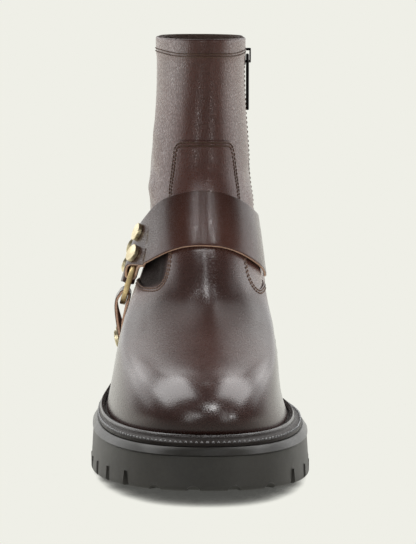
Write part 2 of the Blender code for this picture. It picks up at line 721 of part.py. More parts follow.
def ring_axes():
    """Directions of the ring: towards the heel, up along its plane and out of the boot."""
    lean = math.radians(RING_LEAN)
    back = np.array([0.0, 1.0, 0.0])
    up = np.array([math.sin(lean), 0.0, math.cos(lean)])
    return back, up, np.array([-math.cos(lean), 0.0, math.sin(lean)])


def ring_row(end, reach, height, flip):
    """Points across a strap at a distance from the ring's centre and above its plane."""
    back, up, out = ring_axes()
    heading = math.radians(end.heading_deg)
    along = math.cos(heading) * back + math.sin(heading) * up
    side = np.cross(out, along) * flip
    shares = np.linspace(-0.5, 0.5, ACROSS + 1)[:, None]
    return np.array(RING_CENTRE) + along * reach + out * height + side * shares * end.width


def grid_normals(grid, outward):
    """Normals of a grid of points; the last row faces along outward where that is given."""
    along = np.gradient(grid, axis=0)
    across = np.gradient(grid, axis=1)
    normal = unit(np.cross(along, across))
    if outward is not None and np.sum(normal[-1] * outward) < 0:
        normal = -normal
    return normal


def folded_strap(name, rows, end, flip, tail_rows, parts):
    """Strap on the upper whose end goes through the ring and comes back under itself.

    rows are the strap's own cross rows on the boot, from its sewn end to the ring. Returns
    the outer layer's middle grid and its normals, for the rivets.
    """
    half = STRAP_THICKNESS / 2
    height = RING_THICKNESS / 2 + LAYER_GAP + half
    bar_edge = math.sqrt(RING_INNER ** 2 - (end.width / 2) ** 2) - GAP
    centre = bar_edge + math.sqrt((height - half) ** 2 - (RING_THICKNESS / 2) ** 2)
    approach = [ring_row(end, reach, height, flip) for reach in (RING_OUTER + 2.0, centre)]
    knots = np.array(list(rows) + approach)
    steps = 3 * len(approach) + 1
    places = np.concatenate([np.arange(len(rows) - 1),
                             np.linspace(len(rows) - 1, len(knots) - 1, steps)])
    outer_layer = spline_at(spline_table(knots), places)
    normals = grid_normals(outer_layer, ring_axes()[2])

    turn = np.radians([45, 0, -45])
    fold = [ring_row(end, centre - height * math.cos(a), height * math.sin(a), flip) for a in turn]
    under = [ring_row(end, reach, -height, flip) for reach in (centre, RING_OUTER + 1.0)]
    drop = STRAP_THICKNESS + LAYER_GAP
    back_rows = [outer_layer[-k] - normals[-k] * drop for k in tail_rows]
    tail_knots = np.array([outer_layer[-1]] + fold + under + back_rows)
    tail_steps = 2 * (len(tail_knots) - 1) + 1
    tail = spline_at(spline_table(tail_knots), np.linspace(0, len(tail_knots) - 1, tail_steps))

    middle = np.concatenate([outer_layer, tail[1:]])
    sheet = grid_normals(middle, None)
    plate_between(name, middle + sheet * half, middle - sheet * half, parts, "strap_leather")
    return outer_layer, normals


def rows_on_upper(stations):
    """Cross rows of a strap at column angles, between a low and a high row of the last."""
    reach = abs(stations[-1].column_deg - stations[0].column_deg)
    count = int(round(reach / STRAP_COLUMN_STEP)) + 1
    path = spline_at(spline_table(stations), np.linspace(0, len(stations) - 1, count))
    shares = np.linspace(0.0, 1.0, ACROSS + 1)
    column, low, high, low_lift, high_lift = (path[:, k, None] for k in range(5))
    out = STRAP_LIFT + STRAP_THICKNESS / 2 + low_lift + (high_lift - low_lift) * shares
    return upper_point(np.radians(column) + 0 * shares, low + (high - low) * shares, out)


def lateral_angle_at(y, row):
    """Column angle on the lateral side where the last is this far along the foot."""
    angles = -np.linspace(0.0, np.pi, 721)
    return angles[np.argmin(np.abs(upper_base(angles, row)[:, 1] - y))]


def rows_under_ring(stations):
    """Cross rows of the arch strap, given by their row of the last and the lift."""
    places = RING_CENTRE[1] + ARCH_END.width * np.linspace(-0.5, 0.5, ACROSS + 1)
    rows = []
    for station in stations:
        angle = np.array([lateral_angle_at(y, station.row) for y in places])
        lift = STRAP_LIFT + STRAP_THICKNESS / 2 + station.lift
        rows.append(upper_point(angle, np.full(ACROSS + 1, station.row),
                                np.full(ACROSS + 1, lift)))
    return np.array(rows)


def add_rivet(name, spot, normal, parts):
    """Low tapered disc seated on a strap."""
    work = bmesh.new()
    bmesh.ops.create_cone(work, cap_ends=True, segments=RIVET_SIDES, radius1=RIVET_RADIUS * MM,
                          radius2=RIVET_TOP_RADIUS * MM, depth=RIVET_HEIGHT * MM)
    mesh = bpy.data.meshes.new(name)
    work.to_mesh(mesh)
    work.free()
    mesh.materials.append(finish("aged_brass"))
    made = bpy.data.objects.new(name, mesh)
    parts.objects.link(made)
    lift = STRAP_THICKNESS / 2 + GAP + RIVET_HEIGHT / 2 + 0.15
    made.rotation_euler = Vector(normal).to_track_quat("Z", "Y").to_euler()
    made.location = Vector((spot + normal * lift) * MM)


def build_harness(parts):
    profile = ((RING_INNER, -0.5), (RING_INNER, 0.5), (RING_OUTER, 0.5), (RING_OUTER, -0.5))
    back, up, out = ring_axes()
    angles = 2 * np.pi * np.arange(RING_SEGMENTS) / RING_SEGMENTS
    spokes = np.cos(angles)[:, None] * back + np.sin(angles)[:, None] * up
    hoops = [np.array(RING_CENTRE) + spokes * radius + out * share * RING_THICKNESS
             for radius, share in profile]
    swept_ring("harness_ring", np.stack(hoops, axis=1), parts, "aged_brass")

    straps = (
        ("instep", rows_on_upper(INSTEP_STATIONS), INSTEP_END, 1, (6, 7), 5),
        ("heel", rows_on_upper(HEEL_STATIONS), HEEL_END, -1, (6, 7), 5),
        ("arch", rows_under_ring(ARCH_STATIONS), ARCH_END, -1, (6, 8), 7),
    )
    for name, rows, end, flip, tail_rows, rivet_row in straps:
        grid, normals = folded_strap(f"{name}_strap", rows, end, flip, tail_rows, parts)
        for number, across in enumerate((1, ACROSS - 1), start=1):
            add_rivet(f"{name}_rivet_{number}", grid[-rivet_row, across],
                      normals[-rivet_row, across], parts)


def main():
    for old in list(bpy.data.objects):
        bpy.data.objects.remove(old, do_unlink=True)
    parts = bpy.data.collections.new("harness_boot")
    cutters = bpy.data.collections.new("harness_boot_cutters")
    for collection in (parts, cutters):
        bpy.context.scene.collection.children.link(collection)
    build_outsole(parts, cutters)
    build_heel(parts, cutters)
    build_welt(parts)
    build_insole(parts)
    build_upper(parts)
    build_zip(parts)
    build_slider_and_pull(parts, cutters)
    build_harness(parts)


main()
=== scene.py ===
"""Looks of a right-foot harness boot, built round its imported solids.

Lengths are in millimetres until a mesh is made. The toe points to -Y, the inner side of the
foot is +X and the boot stands on z = 0.
"""

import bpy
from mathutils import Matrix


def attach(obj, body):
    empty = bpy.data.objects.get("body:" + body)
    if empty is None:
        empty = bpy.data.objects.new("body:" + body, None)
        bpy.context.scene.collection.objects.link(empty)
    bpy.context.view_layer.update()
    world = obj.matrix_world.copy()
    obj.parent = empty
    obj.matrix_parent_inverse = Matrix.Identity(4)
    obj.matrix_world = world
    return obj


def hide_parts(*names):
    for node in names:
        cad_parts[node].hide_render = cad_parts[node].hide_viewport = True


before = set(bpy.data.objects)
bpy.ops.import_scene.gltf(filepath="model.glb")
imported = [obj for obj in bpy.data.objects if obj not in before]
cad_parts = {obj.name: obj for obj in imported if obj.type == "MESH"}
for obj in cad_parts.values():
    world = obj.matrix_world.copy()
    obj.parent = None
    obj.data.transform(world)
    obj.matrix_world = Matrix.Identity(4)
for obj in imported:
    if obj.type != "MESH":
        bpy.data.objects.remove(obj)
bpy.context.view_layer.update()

import math
from collections import namedtuple

import bmesh
import bpy
import numpy as np
from bpy.props import FloatProperty, FloatVectorProperty, PointerProperty
from bpy.types import Operator, Panel, PropertyGroup
from mathutils import Vector

bl_info = {
    "name": "Harness boot",
    "version": (1, 0, 0),
    "blender": (4, 5, 0),
    "location": "View3D > Sidebar > Boot",
    "description": "Builds the visible pieces of a harness boot round its solids",
    "category": "Mesh",
}

MM = 0.001
BODY = "boot"

# Sole and feather line
FLARE = 1.2
EDGE_ROUND = 1.2
LIP_HEIGHT = 3.6
LIP_OUT = 0.4
LIP_BEVEL = 1.8
TOE_SPRING = 8.0
SPRING_START_Y = -42.0
SPRING_POWER = 0.95
ARCH_START_Y = -10.0
SOLE_HALF_LENGTH = 140.0
HEEL_SEAT_Y = 72.0
HEEL_SEAT_THICKNESS = 10.0
HEEL_BREAST_Y = 65.7
HEEL_TUCK = 1.6
LUG_PITCH = 18.5
LUG_PHASE = 0.65
LUG_BACK_Y = -10.0
HEEL_LUG_Y = 74.0
LUG_SLOT_LENGTH = 13.0
LUG_SLOT_TOP = 1.0
LUG_SLOT_FOOT = 2.6
LUG_DEPTH = 7.0
TOE_NOTCH_DEPTH = 2.6
TOE_NOTCH_REACH = 40.0
TOE_NOTCH_HALF = 3.1
CHANNEL_NEAR = 16.9
CHANNEL_FAR = 13.5
CHANNEL_FLANK = 0.1
CHANNEL_DEPTH = 5.0
CHANNEL_BACK_Y = -20.0
GROOVES_Y = (-102.0, -76.0, -50.0, -18.3)
GROOVE_HALF = 1.7
GAP = 0.3                  # air between neighbouring pieces
FLANK = 0.3                # run of the steep flanks of slots and grooves
FEATHER_BALL_Z = 29.5
FEATHER_BALL_Y = -50.0
FEATHER_TOE_RISE = 1.5
FEATHER_TOE_RUN = 81.0
FEATHER_HEEL_RISE = 15.5
FEATHER_RISE_START_Y = -40.0
FEATHER_RISE_END_Y = 125.0
WELT_THICKNESS = 3.2
WELT_INSIDE_LIP = 0.6
INSOLE_PROFILE = ((4.2, 0.0), (4.2, 2.4), (4.45, 2.8), (5.0, 3.0))   # inset and height

# Rings of the outsole and the heel: distance out of the outline, then shares of slot and arch,
# or a height; the lip's is a drop from the sole's top
TREAD_RINGS = ((-LUG_SLOT_LENGTH, 0, 0), (FLANK - LUG_SLOT_LENGTH, 1, 0), (-8.0, 1, 0),
               (-4.5, 1, 0), (-3.4, 1, 0.45), (-2.0, 1, 0.8), (0.0, 1, 1))
ROUND_RINGS = ((0.55, 0.2), (1.0, 0.65), (FLARE, EDGE_ROUND))
WALL_SHARES = (0.1, 0.2, 0.32, 0.45, 0.6, 0.8, 1.0)
LIP_PROFILE = ((0.2, 3.8), (LIP_OUT, 3.6), (LIP_OUT, 3.3), (-0.6, 1.75), (-1.5, 0.4),
               (-LIP_BEVEL, 0.1), (-LIP_BEVEL - 0.5, 0.0), (-6.0, 0.0))
HEEL_FOOT = FLARE - HEEL_TUCK / 2
HEEL_FLOOR_RINGS = (-LUG_SLOT_LENGTH, FLANK - LUG_SLOT_LENGTH, -8.0, -4.0, HEEL_FOOT - EDGE_ROUND)
HEEL_ROUND_RINGS = ((HEEL_FOOT - 0.5, 0.25), (HEEL_FOOT, EDGE_ROUND))
HEEL_WALL_SHARES = (0.15, 0.3, 0.5, 0.75, 1.0)

# Welt: its bead as distance out, height and depth of the wheel's marks, its sloping shelf as
# share of the way to the edge and height, and the place of the stitches on it
WELT_INNER = 9.0
WELT_FLANGE = ((2.0, -GAP), (2.05, 0.5))
WELT_BEAD = ((2.25, 1.0, 0.3), (2.6, 1.2, 0.6), (3.0, 1.2, 0.6), (3.35, 1.3, 0.15),
             (3.7, 1.35, 0.0), (4.0, 1.0, 0.0), (4.3, 0.2, 0.0))
WELT_SHELF = ((0.0, -0.7), (0.1, -1.0), (0.4, -1.3), (0.62, -1.6), (0.7, -1.95), (0.8, -2.15),
              (0.89, -2.1), (0.94, -1.95), (0.985, -2.1), (1.0, -2.5))
WELT_SHELF_START = 4.6
WELT_EDGE = LIP_BEVEL + WELT_INSIDE_LIP
WELT_STITCH_AT = (0.81, -1.85)
WELT_STITCH_SHARE = 0.5    # of the pitch
WELT_THREAD = (0.85, 0.4)  # width and lift
WELT_COLUMNS = 2400
WELT_BEAD_OUT = 3.0        # where its columns are evenly spaced

# Upper
WALL = 2.2
SAG_ROWS = 4.0
BACK_ROUND = 2.3
TOP_ROW = 9.0
TOP_ROW_MM = 28.5          # height of the topmost section step at the collar
LAST_STEP = 0.01           # for slopes on the last, in radians and rows
BODY_ROWS = 150
BODY_COLUMNS = 210
BODY_HIGH_ROW = 8.93
COLLAR_STEPS = (1.0, 0.6, 0.3, 0.12, 0.0)
SLIT_STEPS = (0.0, 0.15, 0.4, 0.8, 1.4, 2.4)
COLLAR_ROUND = 1.0
SLIT_ROUND = 0.8
SLIT_HALF = 3.1
SLIT_ROW = 2.0
ZIP_ANGLE = math.radians(90.0)
COLLAR_BAND_ROW = 8.66
COLLAR_BAND_STEP = 0.35
COLLAR_BAND_EDGE = 0.02
GRAIN_LEAN = (0.4, 0.4, 0.0)
GRAIN_STRETCH = (1.0, 1.0, 2.4)
TOE_GRAIN = 0.32           # share of the grain left at the toe
CREVICE_DULL = 0.2         # added roughness between the pebbles
BURNISH_Y = (25.0, -32.0)  # where the toe's dark wax starts and is full
PANEL_FOOT = 0.15          # air between the vamp panel and the leather under it

Section = namedtuple(
    "Section",
    "front_x front_y front_z back_x back_y back_z lat_at lat med_at med "
    "waist_lat waist_med heel_at heel turn square")

# Sections of the last from the feather line to the collar, as in the part's source
SECTIONS = (
    Section(4.5, -131, 31, 2.0, 131, 45, .347, 43.2, .25, 40.4, 37.0, 28.5, .860, 32.0, 22, 2.3),
    Section(4.8, -133.5, 40, 2.0, 133.5, 57, .345, 40.6, .25, 37.2, 35.6, 30, .855, 33.0, 21, 2.25),
    Section(5.0, -122.5, 53.5, 2.0, 134, 68, .330, 38.0, .25, 35.9, 34.2, 31, .850, 32.5, 20, 2.15),
    Section(5.0, -92, 61, 2.0, 133, 79, .320, 35.2, .27, 34.3, 32.4, 31.0, .840, 31.5, 18, 2.05),
    Section(4.0, -44, 74.5, 1.5, 130, 90, .380, 29.8, .36, 31.5, 28.0, 30.5, .820, 29.0, 10, 2.05),
    Section(2.5, -18, 98, 1.2, 126, 104, .420, 25.3, .40, 29.3, 25.0, 28.8, .790, 26.6, 6, 2.05),
    Section(2.5, 10, 125, 1.0, 124, 122, .450, 25.6, .44, 26.4, 25.6, 26.0, .760, 25.4, 1, 2.05),
    Section(2.8, 20, 146, 0.8, 124.5, 142, .460, 24.4, .45, 25.2, 24.4, 25.0, .750, 24.2, 0, 2.05),
    Section(3.5, 23, 173, 0.0, 127, 170, .470, 22.1, .46, 23.3, 22.2, 23.1, .730, 22.4, 0, 2.05),
    Section(5.0, 22, 201, -1.0, 130, 199, .480, 21.7, .46, 23.2, 21.9, 23.0, .720, 22.0, 0, 2.05),
)
SOLE = Section(4.0, -SOLE_HALF_LENGTH, 0, 2.0, SOLE_HALF_LENGTH, 0, .357, 50.6, .275, 50.6,
               42.4, 35.0, .855, 38.0, 0, 2.4)
FOOT = SECTIONS[0]._replace(turn=0)

# Edge of the vamp and its tongue: column angle and row, from the top's middle to the sole
EdgePoint = namedtuple("EdgePoint", "degrees row")
VAMP_LATERAL = (
    EdgePoint(0, 7.20), EdgePoint(-14, 7.20), EdgePoint(-29, 7.18), EdgePoint(-33.2, 7.05),
    EdgePoint(-33.8, 6.62), EdgePoint(-35.8, 6.03), EdgePoint(-33.5, 5.40),
    EdgePoint(-30.5, 4.85), EdgePoint(-31.5, 4.52), EdgePoint(-36.0, 4.28),
    EdgePoint(-51.0, 4.10), EdgePoint(-66.0, 4.02), EdgePoint(-79.0, 3.80),
    EdgePoint(-80.5, 3.20), EdgePoint(-80.0, 1.60), EdgePoint(-80.0, 0.0),
)
VAMP_MEDIAL = (
    EdgePoint(0, 7.20), EdgePoint(15, 7.20), EdgePoint(31, 7.18), EdgePoint(35.2, 7.05),
    EdgePoint(37.8, 6.62), EdgePoint(40.5, 6.03), EdgePoint(38.5, 5.40), EdgePoint(36.0, 4.85),
    EdgePoint(36.6, 4.52), EdgePoint(40.5, 4.26), EdgePoint(46.5, 4.08), EdgePoint(60.0, 4.01),
    EdgePoint(77.0, 3.80), EdgePoint(79.5, 3.20), EdgePoint(80.0, 1.60), EdgePoint(80.0, 0.0),
)
PANEL_STRIP = (0.0, 0.12, 0.35, 0.7, 1.1, 1.5, 1.9, 2.4, 2.9, 3.3, 3.9)
PANEL_STITCHES = (1.3, 3.0)
PANEL_FURROW = (0.22, 0.4)  # depth and half width under the stitches
PANEL_EDGE = (1.0, 0.3)     # radius, and thickness left at the cut edge

# Thread on the upper
COLLAR_STITCH_ROWS = (8.735, 8.685)
COLLAR_STITCH_RISE = (30.0, 75.0, 0.05)    # degrees from the front, start and end, and rows
COLLAR_STITCH_CLEAR = 0.17
ZIP_STITCH_ROWS = (SLIT_ROW - 0.1, 8.62)
ZIP_STITCH_OUT = 2.6
THREAD_SUNK = 0.12
COLLAR_THREAD_SUNK = 0.05
THREAD_LIFT = 0.22
STITCH_SIDES = 6
STITCH_RINGS = 6
STITCH_TIP = 0.12          # radius of its ends, as a share of the width
STITCH_DIP = 0.25          # how far its ends go down, as a share of the width
TURN_WEIGHT = 50.0         # of a normal beside a place when a path is divided
MERGE_MM = 0.002

# Creases pressed into the leather: ends as angle and row, half width and depth in mm
Crease = namedtuple("Crease", "start_deg start_row end_deg end_row width depth")
CREASES = (
    Crease(-96, 6.75, -52, 6.35, 5.0, -0.9),
    Crease(-100, 5.95, -60, 6.02, 4.2, 0.8),
    Crease(-88, 7.35, -48, 7.15, 4.5, 0.5),
    Crease(88, 6.55, 52, 6.20, 5.0, -0.5),
    Crease(92, 5.75, 56, 5.85, 4.5, 0.5),
    Crease(150, 6.2, 215, 6.25, 6.0, 0.5),
    Crease(155, 5.7, 205, 5.72, 6.0, -0.4),
    Crease(-58, 2.9, -34, 3.4, 7.0, 0.35),
    Crease(58, 2.9, 34, 3.4, 7.0, 0.35),
    Crease(-68, 4.55, -38, 4.62, 6.0, -1.5),
    Crease(1, 6.0, 4, 2.2, 8.0, 0.55),
)
# Painted shade on the leather just under the instep strap's lower edge
SHADE_ROWS = (0.42, 0.72)  # under the strap's edge: full and no shade
SHADE_TOP = (0.5, 0.3)     # above it: no and full shade
SHADE_DEGREES = (-78.0, -64.0, -26.0, -36.0)   # no and full shade at its outer and inner end
DEGREE_MM = 0.8            # rough size of a degree and a row, for the creases only
CREASE_ROW_MM = 24.0

# Harness
STRAP_THICKNESS = 1.5
STRAP_LIFT = 0.5
LAYER_GAP = 0.35
RING_CENTRE = (-34.4, 45.0, 83.0)
RING_LEAN = 16.0
RING_INNER = 16.0
RING_OUTER = 19.0
RING_THICKNESS = 2.8
RING_ROUND = 0.55
RING_STEPS = 144
CORNER_STEPS = 4           # points on a rounded corner of strap or ring
STRAP_COLUMN_STEP = 5.0
STRAP_STEPS = 4            # rows of the sheet for each cross row
STRAP_END_STEPS = 25
ACROSS = 16
APPROACH = 2.0             # how far outside the ring a strap is level with it
RETURN = 1.0               # and its tail
FOLD_DEGREES = 72.0
FOLD_STEPS = 9
TAIL_STEPS = 22

StrapStation = namedtuple("StrapStation", "column_deg low high low_lift high_lift")
INSTEP_STATIONS = (
    StrapStation(78, 3.85, 5.40, 1.2, 0.2),
    StrapStation(60, 4.35, 5.55, 0.7, 0.4),
    StrapStation(40, 4.75, 5.75, 1.3, 1.3),
    StrapStation(20, 5.02, 5.93, 1.3, 1.3),
    StrapStation(0, 5.10, 6.00, 1.3, 1.3),
    StrapStation(-20, 5.04, 5.94, 1.3, 1.3),
    StrapStation(-40, 4.80, 5.78, 1.7, 1.4),
    StrapStation(-55, 4.48, 5.52, 3.0, 2.4),
)
HEEL_STATIONS = (
    StrapStation(106, 3.80, 4.75, 0.0, 0.0),
    StrapStation(125, 3.75, 4.75, 0.0, 0.0),
    StrapStation(150, 3.72, 4.90, 0.0, 0.0),
    StrapStation(180, 3.70, 5.00, 0.0, 0.0),
    StrapStation(210, 3.72, 4.90, 0.0, 0.0),
    StrapStation(228, 3.70, 4.85, 0.3, 0.3),
    StrapStation(243, 3.66, 4.80, 1.0, 1.0),
    StrapStation(258, 3.62, 4.76, 2.4, 2.4),
)
ArchStation = namedtuple("ArchStation", "row lift")
ARCH_STATIONS = (ArchStation(0.25, 0.6), ArchStation(0.5, 1.6), ArchStation(0.85, 3.2))
StrapEnd = namedtuple("StrapEnd", "heading_deg width")
INSTEP_END = StrapEnd(140.0, 24.0)
HEEL_END = StrapEnd(2.0, 20.0)
ARCH_END = StrapEnd(268.0, 19.0)
# Lathe of a rivet: radius and height
RIVET_PROFILE = ((0.0, 2.0), (2.0, 2.0), (4.15, 2.0), (4.4, 1.9), (4.5, 1.65),
                 (4.5, 0.8), (4.5, 0.25), (4.5, 0.0), (0.0, 0.0))
RIVET_SIDES = 40
RIVET_FOOT = 0.1           # air between a rivet and its strap

# Zip
TAPE_HALF = 7.0
TAPE_FACE = -(WALL + 0.35)
TAPE_BACK = TAPE_FACE - 0.9
CHAIN_FACE = -1.7
ZIP_LOW_ROW = 2.06
ZIP_HIGH_ROW = 8.94
TOOTH_PITCH = 1.5
TOOTH_LONG = 0.95
TOOTH_SLIM = 0.55          # share of its length on either side of the middle
TOOTH_SECTION = ((-0.7, 0.0), (-0.7, 0.75), (-0.45, 1.0), (0.45, 1.0), (0.7, 0.75), (0.7, 0.0))
TOOTH_RINGS = ((-0.8, 0.75), (-0.55, 1.0), (1.7, 1.0), (2.1, 0.7))   # place across and size
CHAIN_ROWS = (ZIP_LOW_ROW + 0.03, 8.5)
TAPE_ROWS = 120
TAPE_COLUMNS = 15

# Studio: soft panels far away, in degrees round from the camera's side and above the floor,
# and softboxes near the boot, with centre, place they face and size in mm
FILL = 0.14
STUDIO_TINT = (1.0, 1.0, 0.985, 1.0)
FLOOR_REACH = 30.0         # metres
FLOOR_DROP = 0.0002
FLOOR_FELT = (-250.0, 60.0, 0.42, 1.5)     # its glow on the boot, from the front to the back
FLOOR_SHADE = (0.1, 0.34, 0.08, 1.0)       # painted contact shadow: open sky and the glow that is left there
FLOOR_SHADE_REACH = 35.0
StudioPanel = namedtuple("StudioPanel", "turn_low turn_high rise_low rise_high soft strength")
STUDIO_PANELS = (
    StudioPanel(129.0, 174.0, -25.0, 32.0, 6.0, 1.15),
    StudioPanel(138.0, 172.0, 37.0, 64.0, 7.0, 0.75),
    StudioPanel(140.0, 173.0, 22.0, 32.0, 5.0, 0.7),
    StudioPanel(122.0, 174.0, -25.0, 8.0, 8.0, 0.25),
    StudioPanel(27.0, 35.0, -15.0, 30.0, 4.0, 5.4),
)
Softbox = namedtuple("Softbox", "centre target width height spread strength")
PAIRED_BOXES = (
    Softbox((450, 225, 245), (0, 225, 245), 450, 230, 180, 2.2),
    Softbox((97, -112, 128), (97, -112, 0), 146, 90, 180, 6.6),
    Softbox((42, -14, 250), (6, -5, 118), 6, 40, 24, 1.75),
    Softbox((32, -39, 128), (14, -85, 61), 44, 30, 44, 0.19),
    Softbox((112, -10, 128), (25, -97, 50), 75, 60, 60, 0.22),
)
SINGLE_BOXES = (
    Softbox((-2, -47, 250), (-2, -47, 0), 8, 70, 40, 1.6),
    Softbox((19, -231, 143), (4, -122, 45), 32, 24, 24, 0.74),
    Softbox((-44, -263, 92), (-5, -128, 38), 16, 22, 20, 0.27),
    Softbox((118, -222, 72), (12, -126, 37), 16, 22, 20, 0.4),
)
# Camera: focal length in mm, place in metres, turns in degrees
CAMERA_LENS = 170.26
CAMERA_PLACE = (0.00257, -1.2603, 0.25905)
CAMERA_DOWN = 7.7587
CAMERA_TURN = -0.0796
CAMERA_FAR = 200.0


def spline_table(rows):
    """Natural cubic spline: the bends solve the usual 1-4-1 system, one knot for each row."""
    values = np.array(rows, dtype=float)
    count = len(values)
    matrix = np.eye(count)
    right = np.zeros_like(values)
    for k in range(1, count - 1):
        matrix[k, k - 1:k + 2] = (1.0, 4.0, 1.0)
        right[k] = 6.0 * (values[k + 1] - 2.0 * values[k] + values[k - 1])
    bends = np.linalg.solve(matrix, right.reshape(count, -1))
    return values, bends.reshape(values.shape)


def spline_at(table, position):
    """Values of every column at a position in rows: the line between two knots less its bend."""
    values, bends = table
    position = np.asarray(position, dtype=float)
    row = np.clip(np.floor(position).astype(int), 0, len(values) - 2)
    share = (position - row).reshape(position.shape + (1,) * (values.ndim - 1))
    line = (1 - share) * values[row] + share * values[row + 1]
    pull = (2 - share) * bends[row] + (1 + share) * bends[row + 1]
    return line - share * (1 - share) / 6.0 * pull


def smoothstep(low, high, value):
    """Cubic ramp from 0 at low to 1 at high."""
    share = np.clip((value - low) / (high - low), 0.0, 1.0)
    return share * share * (3.0 - 2.0 * share)


def unit(vectors):
    """Vectors of length one."""
    return vectors / np.linalg.norm(vectors, axis=-1, keepdims=True)


def run_lengths(path):
    """Distance along a path of points, from 0 at its start."""
    return np.concatenate([[0.0], np.cumsum(np.linalg.norm(np.diff(path, axis=0), axis=1))])


def signed_turn(angle):
    """Angle brought between minus and plus half a turn."""
    return np.mod(angle + np.pi, 2 * np.pi) - np.pi


def feather_z(y):
    """Height of the feather line: a parabola up to the toe and a smooth ramp up to the heel."""
    toe = np.clip((FEATHER_BALL_Y - y) / FEATHER_TOE_RUN, 0.0, None)
    heel = smoothstep(FEATHER_RISE_START_Y, FEATHER_RISE_END_Y, y)
    return FEATHER_BALL_Z + FEATHER_TOE_RISE * toe ** 2 + FEATHER_HEEL_RISE * heel


def sole_top_z(y):
    """Top of the outsole, under the welt."""
    return feather_z(y) - WELT_THICKNESS - 2 * GAP


def sole_bottom_z(y):
    """Underside: flat under the ball, a power curve up to the toe, a smooth ramp up the arch."""
    spring = np.clip((SPRING_START_Y - y) / (SOLE_HALF_LENGTH + SPRING_START_Y), 0.0, None)
    seat = sole_top_z(y) - HEEL_SEAT_THICKNESS
    return TOE_SPRING * spring ** SPRING_POWER + seat * smoothstep(ARCH_START_Y, HEEL_SEAT_Y, y)


def side_width(share, square, ball_at, ball, waist, heel_at, heel):
    """Half width along a side: superellipse caps at toe and heel, smooth ramps between."""
    waist_at = 0.5 * (ball_at + heel_at)
    toe = np.clip(1.0 - share / ball_at, 0.0, 1.0)
    toe_cap = ball * (1.0 - toe ** square) ** (1.0 / square)
    back = np.clip((share - heel_at) / (1.0 - heel_at), 0.0, 1.0)
    heel_cap = heel * (1.0 - back ** BACK_ROUND) ** (1.0 / BACK_ROUND)
    to_waist = ball + (waist - ball) * smoothstep(ball_at, waist_at, share)
    to_heel = waist + (heel - waist) * smoothstep(waist_at, heel_at, share)
    width = np.where(share < waist_at, to_waist, to_heel)
    return np.where(share < ball_at, toe_cap, np.where(share > heel_at, heel_cap, width))


def section_xy(section, angle):
    """Plan of a section: angle 0 is the front, half a turn the back, positive is medial."""
    angle = signed_turn(angle)
    turned = np.abs(angle) + np.radians(section.turn) * np.sin(np.abs(angle))
    share = 0.5 * (1.0 - np.cos(turned))

    def middle(at):
        return section.front_x + (section.back_x - section.front_x) * at

    medial = side_width(
        share, section.square, section.med_at, section.med - middle(section.med_at),
        section.waist_med - middle(0.5), section.heel_at, section.heel)
    lateral = side_width(
        share, section.square, section.lat_at, section.lat + middle(section.lat_at),
        section.waist_lat + middle(0.5), section.heel_at, section.heel)
    x = middle(share) + np.where(angle >= 0, medial, -lateral)
    return x, section.front_y + (section.back_y - section.front_y) * share, share


LAST = spline_table(SECTIONS)


def upper_base(angle, row):
    """Point of the last: the section at this row, tilted between its front and back point."""
    angle, row = np.broadcast_arrays(np.asarray(angle, float), np.asarray(row, float))
    section = Section(*np.moveaxis(spline_at(LAST, row), -1, 0))
    x, y, share = section_xy(section, angle)
    foot = SECTIONS[0]
    flat = foot.front_z + (foot.back_z - foot.front_z) * share
    foot_y = foot.front_y + (foot.back_y - foot.front_y) * share
    fade = np.clip(1.0 - row / SAG_ROWS, 0.0, 1.0) ** 2
    z = section.front_z + (section.back_z - section.front_z) * share
    return np.stack([x, y, z + fade * (feather_z(foot_y) - flat)], axis=-1)


def last_steps(angle, row):
    """Two small steps on the last: round it along the column angle and up its rows."""
    along = upper_base(angle + LAST_STEP, row) - upper_base(angle - LAST_STEP, row)
    up = upper_base(angle, row + LAST_STEP) - upper_base(angle, row - LAST_STEP)
    return along, up


def upper_normal(angle, row):
    """Outward normal of the last: the cross product of its two small steps."""
    return unit(np.cross(*last_steps(angle, row)))


def upper_point(angle, row, out):
    """Point at a distance out of the last's surface, along its normal."""
    return upper_base(angle, row) + upper_normal(angle, row) * np.asarray(out)[..., None]


def mm_scales(angle, row):
    """Millimetres for a radian of column angle and for a row, at places of the last."""
    return [np.linalg.norm(step, axis=-1) / (2 * LAST_STEP) for step in last_steps(angle, row)]


def zip_turn(rows):
    """Column angle of one millimetre across the zip, at rows of the last."""
    return 1.0 / mm_scales(np.full(rows.shape, ZIP_ANGLE), rows)[0]


def relief(angle, row):
    """Height of the creases: Gauss ridges and troughs about short lines on the last."""
    degrees = np.degrees(angle)
    height = np.zeros(np.broadcast(angle, row).shape)
    for crease in CREASES:
        turn = np.mod(degrees - crease.start_deg + 180.0, 360.0) - 180.0
        x, y = turn * DEGREE_MM, (row - crease.start_row) * CREASE_ROW_MM
        run = (crease.end_deg - crease.start_deg) * DEGREE_MM
        rise = (crease.end_row - crease.start_row) * CREASE_ROW_MM
        along = np.clip((x * run + y * rise) / (run ** 2 + rise ** 2), 0.0, 1.0)
        gone = (x - along * run) ** 2 + (y - along * rise) ** 2
        taper = 1.0 - (2.0 * along - 1.0) ** 4
        height = height + crease.depth * taper * np.exp(-gone / crease.width ** 2)
    return height


def strap_shade(angle, row):
    """Painted shade under the instep strap: full at its lower edge, gone a few tenths of a row
    below.
    """
    degrees = np.degrees(angle)
    edge = np.array([(station.column_deg, station.low) for station in INSTEP_STATIONS[::-1]])
    above = row - np.interp(degrees, *edge.T)
    full, none = SHADE_ROWS
    shade = smoothstep(-none, -full, above) * smoothstep(*SHADE_TOP, above)
    ends = smoothstep(*SHADE_DEGREES[:2], degrees), smoothstep(*SHADE_DEGREES[2:], degrees)
    return shade * ends[0] * ends[1]


def round_edge(distance, radius):
    """Drop of a rounded edge: a quarter circle over its radius, nothing beyond it."""
    inside = np.clip(radius - distance, 0.0, radius)
    return np.sqrt(radius ** 2 - inside ** 2) - radius


